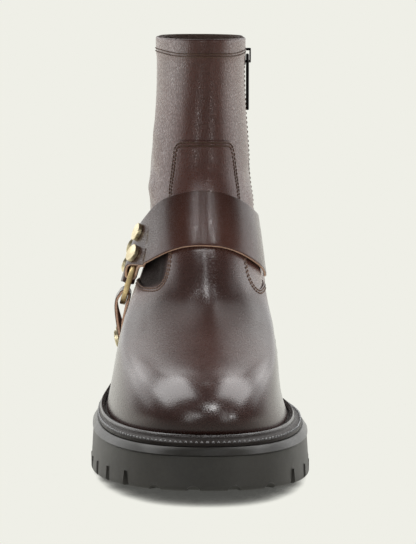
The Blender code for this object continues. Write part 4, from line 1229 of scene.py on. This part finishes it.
def leather(name, colour, pebble, wrinkle, depth, rough, burnish=1.0, **constants):
    """Waxed leather: pebble grain in the normal, slow tone drift, duller crevices.

    burnish is the share of colour left at the toe, where a slow ramp of wax also fills the grain.
    Under the strap the piece's own painted shade turns the leather black and dull, and its
    metallic share takes away the leather's reflection.
    """
    def build(kit, place):
        grain = kit.group("leather_grain", grain_group,
                          {"Vector": place, "Pebble": pebble, "Wrinkle": wrinkle})
        tone = tone_of(kit, place, rgba(colour, 0.78), rgba(colour, 1.2), 26.0)
        height, crevice = grain["Height"], grain["Crevice"]
        sunk = kit.math("MULTIPLY", crevice, 0.35)
        dark = kit.mix(sunk, tone["Color"], rgba(colour, 0.45))
        skin = {}
        shade = 0.0
        if burnish < 1.0:
            along = kit.put("ShaderNodeSeparateXYZ", {"Vector": place}, 1)
            start, full = (y * MM for y in BURNISH_Y)
            waxed = kit.ramp(along, start, full, 0.0, 1.0 - burnish)
            clear = kit.ramp(along, start, full, 1.0, TOE_GRAIN)
            height = kit.math("MULTIPLY", height, clear)
            crevice = kit.math("MULTIPLY", crevice, clear)
            # painted shade under the strap, from the piece's attribute: it blackens the colour
            # together with the toe's wax, raises the roughness and, as metallic, removes the
            # reflection
            shade = kit.put("ShaderNodeAttribute", output=2, attribute_name="shade")
            toe_wax_and_painted_shade = kit.math("MAXIMUM", waxed, kit.math("MULTIPLY", shade, 0.9))
            dark = kit.mix(toe_wax_and_painted_shade, dark, rgba(colour, 0.0))
            skin["Metallic"] = kit.math("MULTIPLY", shade, 0.7)
        dull = kit.ramp(crevice, 0.0, 1.0, rough, rough + CREVICE_DULL)
        drift = kit.math("MULTIPLY_ADD", tone["Mask"], 0.05, dull)
        skin["Base Color"] = dark
        skin["Roughness"] = kit.math("MULTIPLY_ADD", shade, 0.5, drift)
        skin["Normal"] = bump(kit, height, 1.0, depth * MM)
        return skin
    return new_material(name, build, **constants)


def rubber(name, colour, rough, **constants):
    """Moulded rubber: grit in the normal and the gloss, slow drift of tone."""
    def build(kit, place):
        height = kit.group("moulded_speckle", speckle_group, {"Vector": place})["Height"]
        tone = tone_of(kit, place, rgba(colour, 0.85), rgba(colour, 1.2), 40.0)
        return {"Base Color": tone["Color"],
                "Roughness": kit.ramp(height, 0.3, 0.7, rough - 0.06, rough + 0.06),
                "Normal": bump(kit, height, 0.6, 0.12 * MM)}
    return new_material(name, build, **constants)


def metal(name, colour, tarnish, rough, wear):
    """Aged metal: tarnish in slow patches, small dents in the normal."""
    def build(kit, place):
        tone = tone_of(kit, place, rgba(tarnish), rgba(colour), 90.0)
        dents = kit.noise(place, 700.0, 3.0)
        return {"Base Color": tone["Color"],
                "Roughness": kit.ramp(tone["Mask"], 0.0, 1.0, rough + 0.18, rough),
                "Normal": bump(kit, dents, wear, 0.15 * MM)}
    return new_material(name, build, Metallic=1.0)


def fibre(name, colour, scale, rough, stretch=(1.0, 1.0, 1.0)):
    """Thread, tape or raw leather edge: stretched fibre noise in colour and normal."""
    def build(kit, place):
        turned = kit.put("ShaderNodeMapping", {"Vector": place, "Scale": stretch})
        strands = kit.noise(turned, scale, 3.0, Roughness=0.65)
        mask = kit.ramp(strands, 0.3, 0.7)
        return {"Base Color": kit.mix(mask, rgba(colour, 0.62), rgba(colour, 1.25)),
                "Normal": bump(kit, strands, 0.8, 0.2 * MM)}
    return new_material(name, build, Roughness=rough)


class BootSizes(PropertyGroup):
    """Sizes of the boot's surface detail."""
    vamp_thickness: FloatProperty(
        name="Vamp thickness", description="How far the vamp and its tongue stand proud",
        default=0.001, unit="LENGTH")
    stitch_pitch: FloatProperty(
        name="Stitch pitch", description="Distance from one stitch of the upper to the next",
        default=0.0024, unit="LENGTH")
    stitch_length: FloatProperty(
        name="Stitch length", description="Length of a stitch of the upper",
        default=0.0019, unit="LENGTH")
    thread_width: FloatProperty(
        name="Thread width", description="Width of the upper's thread",
        default=0.00062, unit="LENGTH")
    welt_pitch: FloatProperty(
        name="Welt stitch pitch", description="Distance between the welt's stitches",
        default=0.0024, unit="LENGTH")
    wheel_pitch: FloatProperty(
        name="Wheel mark pitch", description="Distance between the marks on the welt's bead",
        default=0.0015, unit="LENGTH")
    strap_round: FloatProperty(
        name="Strap edge round", description="Radius of the straps' long edges",
        default=0.0004, unit="LENGTH")


class BootColours(PropertyGroup):
    """Colours of the boot's finishes."""
    leather: FloatVectorProperty(
        name="Upper leather", description="Colour of the upper", subtype="COLOR",
        default=(0.108, 0.044, 0.034))
    strap: FloatVectorProperty(
        name="Strap leather", description="Colour of the straps", subtype="COLOR",
        default=(0.050, 0.020, 0.0145))
    raw_edge: FloatVectorProperty(
        name="Raw edge", description="Colour of the cut strap edges", subtype="COLOR",
        default=(0.52, 0.33, 0.23))
    flesh: FloatVectorProperty(
        name="Flesh side", description="Colour of the straps' suede under side", subtype="COLOR",
        default=(0.34, 0.19, 0.135))
    lining: FloatVectorProperty(
        name="Lining", description="Colour of the lining and insole", subtype="COLOR",
        default=(0.10, 0.062, 0.045))
    thread: FloatVectorProperty(
        name="Thread", description="Colour of the stitches", subtype="COLOR",
        default=(0.105, 0.055, 0.031))
    welt: FloatVectorProperty(
        name="Welt", description="Colour of the welt", subtype="COLOR",
        default=(0.014, 0.0105, 0.009))
    sole: FloatVectorProperty(
        name="Sole", description="Colour of outsole and heel", subtype="COLOR",
        default=(0.032, 0.0298, 0.0256))
    brass: FloatVectorProperty(
        name="Brass", description="Colour of the ring", subtype="COLOR",
        default=(0.80, 0.62, 0.33))
    rivet: FloatVectorProperty(
        name="Rivet", description="Colour of the rivets' worn tops", subtype="COLOR",
        default=(0.74, 0.65, 0.43))
    zip: FloatVectorProperty(
        name="Zip", description="Colour of tape, chain, slider and pull", subtype="COLOR",
        default=(0.012, 0.011, 0.011))
    floor: FloatVectorProperty(
        name="Floor", description="Colour of the floor", subtype="COLOR",
        default=(0.863, 0.863, 0.799))


def upper_leather(colours):
    """Burnished leather of shaft and vamp."""
    return leather("upper_leather_skin", colours.leather, pebble=900.0, wrinkle=0.5, depth=0.07,
                   rough=0.215, burnish=0.2)


def thread(colours):
    """Brown thread of the upper."""
    return fibre("brown_thread", colours.thread, scale=2600.0, rough=0.55)


def lining(colours):
    """Soft leather of the lining and the footbed."""
    return leather("lining_skin", colours.lining, pebble=1300.0, wrinkle=0.4, depth=0.06, rough=0.6)


class BOOT_OT_upper(Operator):
    """Hollow leather body with collar, lining and the zip opening"""
    bl_idname = "boot.upper"
    bl_label = "Upper"

    def execute(self, context):
        colours = context.scene.boot_colours
        below, near = np.array(COLLAR_STEPS), np.array(SLIT_STEPS)
        rows = np.concatenate([np.linspace(0.0, BODY_HIGH_ROW, BODY_ROWS),
                               TOP_ROW - below / TOP_ROW_MM])
        rim = np.concatenate([np.full(BODY_ROWS, 2 * COLLAR_ROUND), below])
        side = (SLIT_HALF + near)[None, :] * zip_turn(rows)[:, None]
        first, last = side[:, -1:], 2 * np.pi - side[:, -1:]
        part = np.linspace(0.0, 1.0, BODY_COLUMNS + 2)[1:-1]
        angle = ZIP_ANGLE + np.concatenate(
            [side, first + (last - first) * part, 2 * np.pi - side[:, ::-1]], axis=1)
        row = np.broadcast_to(rows[:, None], angle.shape)
        slit = np.zeros(angle.shape[1])
        slit[:len(near)] = round_edge(near, SLIT_ROUND)
        slit[-len(near):] = round_edge(near, SLIT_ROUND)[::-1]
        edge = round_edge(rim, COLLAR_ROUND)[:, None] + slit * (row >= SLIT_ROW)
        band = COLLAR_BAND_STEP * smoothstep(
            COLLAR_BAND_ROW - COLLAR_BAND_EDGE, COLLAR_BAND_ROW + COLLAR_BAND_EDGE, row)
        outer = upper_point(angle, row, edge + band + relief(angle, row))
        inner = upper_point(angle, row, -WALL - edge)
        present = np.ones((len(rows) - 1, angle.shape[1]), dtype=bool)
        present[rows[:-1] >= SLIT_ROW, -1] = False
        points, outside, inside, rims = wall_between(outer, inner, present)
        add_piece("upper_body", points, [outside, inside, rims],
                  [upper_leather(colours), lining(colours)], ["upper"], (0, 1, 0),
                  shade=np.tile(strap_shade(signed_turn(angle), row).ravel(), 2))
        return {"FINISHED"}


class BOOT_OT_vamp(Operator):
    """Vamp with its tongue as one panel lying on the upper"""
    bl_idname = "boot.vamp"
    bl_label = "Vamp"

    def execute(self, context):
        thickness = context.scene.boot_sizes.vamp_thickness / MM
        angle, row = vamp_grid()
        strip = len(PANEL_STRIP)
        height = np.full(angle.shape, thickness)
        height[:, :strip] = vamp_height(thickness)
        height[:, -strip:] = vamp_height(thickness)[::-1]
        ground = relief(angle, row) + PANEL_FOOT
        outer = upper_point(angle, row, ground + height)
        inner = upper_point(angle, row, ground)
        rows, columns, _ = outer.shape
        number = np.arange(rows * columns).reshape(rows, columns)
        half = rows * columns
        top = grid_quads(rows, columns)
        rims = []
        for line in (number[:, 0], number[-1], number[::-1, -1]):
            rims.append(np.stack([line[1:], line[:-1], half + line[:-1], half + line[1:]], axis=-1))
        points = np.concatenate([outer.reshape(-1, 3), inner.reshape(-1, 3)])
        add_piece("vamp", points, [top, half + top[:, ::-1], np.concatenate(rims)],
                  [upper_leather(context.scene.boot_colours)], merge=True,
                  shade=np.tile(strap_shade(angle, row).ravel(), 2))
        return {"FINISHED"}


class BOOT_OT_stitching(Operator):
    """Rows of thread on vamp, collar and zip edges"""
    bl_idname = "boot.stitching"
    bl_label = "Stitching"

    def execute(self, context):
        sizes = context.scene.boot_sizes
        paths, normals = [], []

        def lay(angle, row, out):
            paths.append(upper_point(angle, row, out + relief(angle, row)))
            normals.append(upper_normal(angle, row))

        for table, inward in ((VAMP_LATERAL, 1.0), (VAMP_MEDIAL, -1.0)):
            edge = smooth_edge(table)
            for reach in PANEL_STITCHES:
                angle, row = inset_edge(*edge, inward, reach)
                lay(angle, row, PANEL_FOOT + sizes.vamp_thickness / MM - THREAD_SUNK)
        clear = COLLAR_STITCH_CLEAR
        angle = ZIP_ANGLE + np.linspace(clear, 2 * np.pi - clear, 400)
        start, end, rise = COLLAR_STITCH_RISE
        climb = rise * smoothstep(start, end, np.abs(np.degrees(signed_turn(angle))))
        for row in COLLAR_STITCH_ROWS:
            lay(angle, row + climb, COLLAR_BAND_STEP - COLLAR_THREAD_SUNK)
        row = np.linspace(*ZIP_STITCH_ROWS, 240)
        for side in (-1.0, 1.0):
            lay(ZIP_ANGLE + side * (SLIT_HALF + ZIP_STITCH_OUT) * zip_turn(row), row, 0.0)
        points, faces = stitch_rows(
            paths, normals, sizes.stitch_pitch / MM, sizes.stitch_length / MM,
            sizes.thread_width / MM, THREAD_LIFT)
        add_piece("upper_stitches", points, [faces], [thread(context.scene.boot_colours)])
        return {"FINISHED"}


class BOOT_OT_welt(Operator):
    """Welt with its wheeled bead and its row of stitches"""
    bl_idname = "boot.welt"
    bl_label = "Welt"

    def execute(self, context):
        sizes, colours = context.scene.boot_sizes, context.scene.boot_colours
        dense = np.linspace(0.0, 2 * np.pi, 6001)
        length = run_lengths(outline_at(FOOT, dense, WELT_BEAD_OUT))
        around = np.interp(np.arange(WELT_COLUMNS) / WELT_COLUMNS * length[-1], length, dense)
        profile = welt_profile(around, sizes.wheel_pitch / MM)
        closed = np.concatenate([profile, profile[:1]]).transpose(1, 0, 2)
        points, faces = stack_grids([(closed, False)])
        rings, columns, _ = closed.shape
        here, after = np.arange(columns - 1), np.arange(1, columns)
        low = (rings - 1) * columns
        closing = np.stack([here, after, low + after, low + here], axis=-1)
        bands = faces[0].reshape(rings - 1, -1, 4)
        band = np.arange(rings - 1)
        start = 1 + len(WELT_FLANGE)
        bead = (band >= start) & (band < start + len(WELT_BEAD))
        parts = [bands[bead].reshape(-1, 4), bands[~bead].reshape(-1, 4), closing]
        waxed = leather("waxed_bead", colours.welt, pebble=1500.0, wrinkle=0.6, depth=0.03,
                        rough=0.16)
        skin = leather("welt_skin", colours.welt, pebble=1500.0, wrinkle=0.6, depth=0.06, rough=0.3,
                       Specular_IOR_Level=0.16)
        add_piece("welt_strip", points, parts, [waxed, skin], ["welt"], (0, 1, 1),
                  merge=True, sharp=70.0)
        path = welt_shelf(around, *WELT_STITCH_AT)
        upward = np.broadcast_to([0.0, 0.0, 1.0], path.shape)
        pitch = sizes.welt_pitch / MM
        points, faces = stitch_rows(
            [path], [upward], pitch, pitch * WELT_STITCH_SHARE, *WELT_THREAD)
        # Painted highlight: the welt thread gets a grey sixteen times as light as the welt, in
        # place of the glints on its dark waxed thread
        painted_glint_grey = [16.0 * sum(colours.welt) / 3] * 3
        waxed_thread = fibre("welt_thread", painted_glint_grey, scale=2600.0, rough=0.5)
        add_piece("welt_stitches", points, [faces], [waxed_thread])
        return {"FINISHED"}


class BOOT_OT_sole(Operator):
    """Lugged outsole, heel block and insole"""
    bl_idname = "boot.sole"
    bl_label = "Sole"

    def execute(self, context):
        colours = context.scene.boot_colours
        loop = SoleLoop()
        skin = rubber("sole_skin", colours.sole, rough=0.55)
        lip = rubber("lip_skin", [0.5 * c for c in colours.sole], rough=0.34,
                     Specular_IOR_Level=0.24)
        grids = outsole_grids(loop)
        points, faces = stack_grids(grids)
        bands = faces[0].reshape(len(grids[0][0]) - 1, -1, 4)
        wall, rim = np.split(bands, [-len(LIP_PROFILE)])
        add_piece("outsole_lugs", points, [wall.reshape(-1, 4), rim.reshape(-1, 4)] + faces[1:],
                  [skin, lip], ["outsole"], (0, 1, 0, 0), merge=True, sharp=32.0)
        points, faces = stack_grids(heel_grids(loop))
        add_piece("heel_block", points, faces, [skin], ["heel"], merge=True,
                  sharp=32.0)
        side, share = closed_columns(np.linspace(0.0, 1.0, 130)[1:-1])
        rings = [ring_at(FOOT, side * np.pi * share, -inset, lambda y: feather_z(y) + rise)
                 for inset, rise in INSOLE_PROFILE]
        floors = [(pad_between(ring, 8), False) for ring in (rings[0], rings[-1])]
        points, faces = stack_grids([(np.stack(rings), True)] + floors)
        add_piece("footbed", points, faces, [lining(colours)], ["insole"],
                  merge=True)
        return {"FINISHED"}


class BOOT_OT_harness(Operator):
    """Three straps, their ring and their rivets"""
    bl_idname = "boot.harness"
    bl_label = "Harness"

    def hoop(self):
        """Ring: a rounded oblong section, its corners quarter circles, turned about its centre."""
        bow = np.linspace(0.0, np.pi / 2, CORNER_STEPS)
        corner = np.stack([RING_ROUND * np.cos(bow), RING_ROUND * np.sin(bow)], axis=1)
        wide = (RING_OUTER - RING_INNER) / 2 - RING_ROUND
        tall = RING_THICKNESS / 2 - RING_ROUND
        profile = np.concatenate([
            corner + (wide, tall), corner[::-1] * (-1, 1) + (-wide, tall),
            corner * (-1, -1) + (-wide, -tall), corner[::-1] * (1, -1) + (wide, -tall)])
        back, up, out = ring_axes()
        turn = 2 * np.pi * np.arange(RING_STEPS) / RING_STEPS
        spokes = np.cos(turn)[:, None] * back + np.sin(turn)[:, None] * up
        radius = (RING_OUTER + RING_INNER) / 2 + profile[:, 0]
        hoop = (np.array(RING_CENTRE) + radius[:, None, None] * spokes[None]
                + profile[:, 1, None, None] * out)
        return np.concatenate([hoop, hoop[:1]])

    def execute(self, context):
        sizes, colours = context.scene.boot_sizes, context.scene.boot_colours
        skin = leather("strap_skin", colours.strap, pebble=1500.0, wrinkle=0.45, depth=0.03,
                       rough=0.12, Specular_IOR_Level=0.2)
        raw = fibre("raw_strap_edge", colours.raw_edge, 1700.0, rough=0.8, stretch=(1.0, 1.0, 2.5))
        flesh = fibre("strap_flesh_side", colours.flesh, 900.0, rough=0.9)
        brass = metal("aged_brass_skin", colours.brass, [0.5 * c for c in colours.brass],
                      rough=0.32, wear=0.25)
        worn = metal("worn_rivet_skin", colours.rivet, [0.7 * c for c in colours.rivet],
                     rough=0.3, wear=0.05)
        straps = (
            ("instep", rows_on_upper(INSTEP_STATIONS), INSTEP_END, 1, 0.0, 2.0 / 3.0, (0, 1, 2, 2)),
            ("heel", rows_on_upper(HEEL_STATIONS), HEEL_END, -1, 0.0, 2.0 / 3.0, (0, 1, 0, 0)),
            ("arch", rows_under_ring(ARCH_STATIONS), ARCH_END, -1, -1.0, 0.0, (0, 1, 2, 2)),
        )
        for name, rows, end, flip, tail_at, rivet_at, picks in straps:
            sheet, rivets = strap_sheet(rows, end, flip, tail_at, rivet_at)
            points, faces = strap_body(sheet, sizes.strap_round / MM, flip)
            add_piece(f"{name}_strap_leather", points, faces, [skin, flesh, raw],
                      [f"{name}_strap"], picks)
            for number, (spot, outward) in enumerate(rivets, start=1):
                base = spot + outward * (STRAP_THICKNESS / 2 + RIVET_FOOT)
                head = lathe_on(RIVET_PROFILE, base, outward, RIVET_SIDES)
                points, faces = stack_grids([(head, True)])
                add_piece(f"{name}_rivet_head_{number}", points, faces, [worn],
                          [f"{name}_rivet_{number}"], merge=True, sharp=20.0)
        points, faces = stack_grids([(self.hoop(), True)])
        add_piece("harness_ring_hoop", points, faces, [brass], ["harness_ring"],
                  merge=True, sharp=50.0)
        return {"FINISHED"}


class BOOT_OT_zip(Operator):
    """Zip tape with its chain, and the finish of slider and pull"""
    bl_idname = "boot.zip"
    bl_label = "Zip"

    def tape(self):
        """Tape behind the slit: two flat faces a little apart, closed at the edges."""
        rows = np.linspace(ZIP_LOW_ROW, ZIP_HIGH_ROW, TAPE_ROWS)
        face = np.linspace(-TAPE_HALF, TAPE_HALF, TAPE_COLUMNS)
        across = np.concatenate([face, face[::-1]])
        out = np.repeat([TAPE_FACE, TAPE_BACK], TAPE_COLUMNS)
        return upper_point(ZIP_ANGLE + across[None] * zip_turn(rows)[:, None],
                           rows[:, None] + 0 * across, np.broadcast_to(out, (len(rows), len(out))))

    def teeth(self):
        """Teeth on the tape from both sides in turn: a bevelled section carried across the zip."""
        spine_row = np.linspace(*CHAIN_ROWS, 600)
        length = run_lengths(upper_base(np.full(600, ZIP_ANGLE), spine_row))
        row = np.interp(np.arange(0.0, length[-1], TOOTH_PITCH / 2), length, spine_row)
        angle = np.full(row.shape, ZIP_ANGLE)
        base = upper_point(angle, row, np.full(row.shape, TAPE_FACE))
        up = upper_normal(angle, row)
        ahead = unit(np.gradient(base, axis=0))
        side = unit(np.cross(ahead, up)) * np.where(np.arange(len(row)) % 2, 1.0, -1.0)[:, None]
        lean = np.array(TOOTH_SECTION) * (TOOTH_LONG * TOOTH_SLIM, CHAIN_FACE - TAPE_FACE)
        rings = [base[:, None] + side[:, None] * far
                 + ahead[:, None] * (lean[:, 0] * size)[:, None]
                 + up[:, None] * (lean[:, 1] * size)[:, None] for far, size in TOOTH_RINGS]
        return np.stack(rings, axis=1)

    def execute(self, context):
        colours = context.scene.boot_colours
        weave = fibre("zip_tape_weave", colours.zip, 1800.0, rough=0.8, stretch=(1.0, 1.0, 3.0))
        coat = leather("zip_chain_coat", colours.zip, pebble=2500.0, wrinkle=0.3, depth=0.02,
                       rough=0.35)
        toe_wax_and_painted_shade = metal("black_zip_metal", [2.2 * c for c in colours.zip], colours.zip,
                      rough=0.3, wear=0.2)
        tape = self.tape()
        points, faces = stack_grids([(tape, True)])
        faces.append(end_loops(*tape.shape[:2]))
        add_piece("zip_tape_band", points, faces, [weave], ["zip"])
        teeth = self.teeth()
        count, rings, sides, _ = teeth.shape
        cells, ends = grid_quads(rings, sides, wrap=True), end_loops(rings, sides)[:, ::-1]
        add_piece("zip_chain", teeth.reshape(-1, 3),
                  [repeated(part, rings * sides, count) for part in (cells, ends)],
                  [coat])
        for node in ("zip_slider", "zip_pull"):
            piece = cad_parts[node]
            piece.data.materials.clear()
            piece.data.materials.append(toe_wax_and_painted_shade)
        return {"FINISHED"}


class BOOT_OT_stage(Operator):
    """Pale floor, studio light all round and the camera in front"""
    bl_idname = "boot.stage"
    bl_label = "Stage"

    def far_light(self, scene):
        """World light: a fill and soft panels that are alike on both sides.

        Past the floor's far edge the eye meets a plain backdrop in the floor's own colour.
        """
        world = bpy.data.worlds.new("studio")
        world.use_nodes = True
        scene.world = world
        kit = NodeTree(world.node_tree)
        place = kit.put("ShaderNodeTexCoord")
        split = kit.tree.nodes.new("ShaderNodeSeparateXYZ")
        kit.tree.links.new(place, split.inputs[0])
        x, y, z = split.outputs
        ahead = kit.math("MULTIPLY", y, -1.0)
        turn = kit.math("DEGREES", kit.math("ARCTAN2", kit.math("ABSOLUTE", x), ahead))
        rise = kit.math("DEGREES", kit.math("ARCSINE", z))
        light = FILL
        for panel in STUDIO_PANELS:
            half = panel.soft / 2
            inside = panel.strength
            for value, low, high in ((turn, panel.turn_low, panel.turn_high),
                                     (rise, panel.rise_low, panel.rise_high)):
                inside = kit.math("MULTIPLY", kit.ramp(value, low - half, low + half), inside)
                inside = kit.math("MULTIPLY", kit.ramp(value, high + half, high - half), inside)
            light = kit.math("ADD", inside, light)
        studio = kit.put("ShaderNodeBackground", {"Color": STUDIO_TINT, "Strength": light})
        backdrop = kit.put("ShaderNodeBackground",
                           {"Color": rgba(scene.boot_colours.floor), "Strength": 1.0})
        seen = kit.put("ShaderNodeLightPath")
        both = kit.put("ShaderNodeMixShader", {0: seen, 1: studio, 2: backdrop})
        kit.put("ShaderNodeOutputWorld", {"Surface": both})

    def near_light(self, scene, box, side):
        """Softbox that shines at its target; its power is radiance times pi times its area."""
        lamp = bpy.data.lights.new("softbox", "AREA")
        lamp.shape = "RECTANGLE"
        lamp.size, lamp.size_y = box.width * MM, box.height * MM
        lamp.spread = math.radians(box.spread)
        lamp.energy = box.strength * math.pi * lamp.size * lamp.size_y
        light = bpy.data.objects.new("softbox", lamp)
        scene.collection.objects.link(light)
        centre = Vector(box.centre) * MM
        aim = Vector(box.target) * MM - centre
        centre.x, aim.x = centre.x * side, aim.x * side
        light.location = centre
        light.rotation_euler = aim.to_track_quat("-Z", "Y").to_euler()
        light.visible_camera = False

    def floor_finish(self, colour):
        """Glow in the floor's colour, less on the boot's front, with a painted contact shadow where
        the sky is hidden.
        """
        material = bpy.data.materials.new("pale_floor")
        material.use_nodes = True
        kit = NodeTree(material.node_tree)
        # painted contact shadow: the glow is dimmed where ambient occlusion hides the sky
        open_sky = kit.put("ShaderNodeAmbientOcclusion", {"Distance": FLOOR_SHADE_REACH * MM}, 1,
                           samples=16)
        place = kit.put("ShaderNodeTexCoord", output=3)
        depth = kit.put("ShaderNodeSeparateXYZ", {"Vector": place}, 1)
        front, back, low, high = FLOOR_FELT
        felt = kit.ramp(depth, front * MM, back * MM, low, high)
        eye = kit.put("ShaderNodeLightPath")
        seen = kit.math("MULTIPLY_ADD", eye, kit.math("SUBTRACT", 1.0, felt), felt)
        glow = kit.math("MULTIPLY", seen, kit.ramp(open_sky, *FLOOR_SHADE, "LINEAR"))
        shader = kit.put("ShaderNodeEmission", {"Color": rgba(colour), "Strength": glow})
        kit.put("ShaderNodeOutputMaterial", {"Surface": shader})
        return material

    def execute(self, context):
        scene = context.scene
        mesh = bpy.data.meshes.new("floor")
        far = FLOOR_REACH
        mesh.from_pydata([(-far, -far, 0), (far, -far, 0), (far, far, 0), (-far, far, 0)], [],
                         [(0, 1, 2, 3)])
        mesh.materials.append(self.floor_finish(scene.boot_colours.floor))
        floor = bpy.data.objects.new("floor", mesh)
        scene.collection.objects.link(floor)
        floor.location.z = -FLOOR_DROP
        self.far_light(scene)
        for box in PAIRED_BOXES + SINGLE_BOXES:
            self.near_light(scene, box, 1.0)
        for box in PAIRED_BOXES:
            self.near_light(scene, box, -1.0)

        lens = bpy.data.cameras.new("front_camera")
        lens.lens = CAMERA_LENS
        lens.clip_end = CAMERA_FAR
        camera = bpy.data.objects.new("front_camera", lens)
        scene.collection.objects.link(camera)
        camera.location = CAMERA_PLACE
        camera.rotation_euler = (math.radians(90.0 - CAMERA_DOWN), 0.0, math.radians(CAMERA_TURN))
        scene.camera = camera
        scene.view_settings.view_transform = "Standard"
        scene.view_settings.look = "None"
        return {"FINISHED"}


class BOOT_PT_panel(Panel):
    """Lists the boot's sizes, colours and pieces"""
    bl_idname = "BOOT_PT_panel"
    bl_label = "Harness boot"
    bl_space_type = "VIEW_3D"
    bl_region_type = "UI"
    bl_category = "Boot"

    def draw(self, context):
        for group in (context.scene.boot_sizes, context.scene.boot_colours):
            for key in group.__annotations__:
                self.layout.prop(group, key)
        for operator in OPERATORS:
            self.layout.operator(operator.bl_idname)


OPERATORS = (BOOT_OT_stage, BOOT_OT_upper, BOOT_OT_vamp, BOOT_OT_stitching, BOOT_OT_welt,
             BOOT_OT_sole, BOOT_OT_harness, BOOT_OT_zip)
CLASSES = (BootSizes, BootColours) + OPERATORS + (BOOT_PT_panel,)


def register():
    for cls in CLASSES:
        bpy.utils.register_class(cls)
    bpy.types.Scene.boot_sizes = PointerProperty(type=BootSizes)
    bpy.types.Scene.boot_colours = PointerProperty(type=BootColours)


def unregister():
    del bpy.types.Scene.boot_colours
    del bpy.types.Scene.boot_sizes
    for cls in reversed(CLASSES):
        bpy.utils.unregister_class(cls)


def main():
    register()
    bpy.ops.boot.stage()
    bpy.ops.boot.upper()
    bpy.ops.boot.vamp()
    bpy.ops.boot.stitching()
    bpy.ops.boot.welt()
    bpy.ops.boot.sole()
    bpy.ops.boot.harness()
    bpy.ops.boot.zip()


if __name__ == "__main__":
    main()
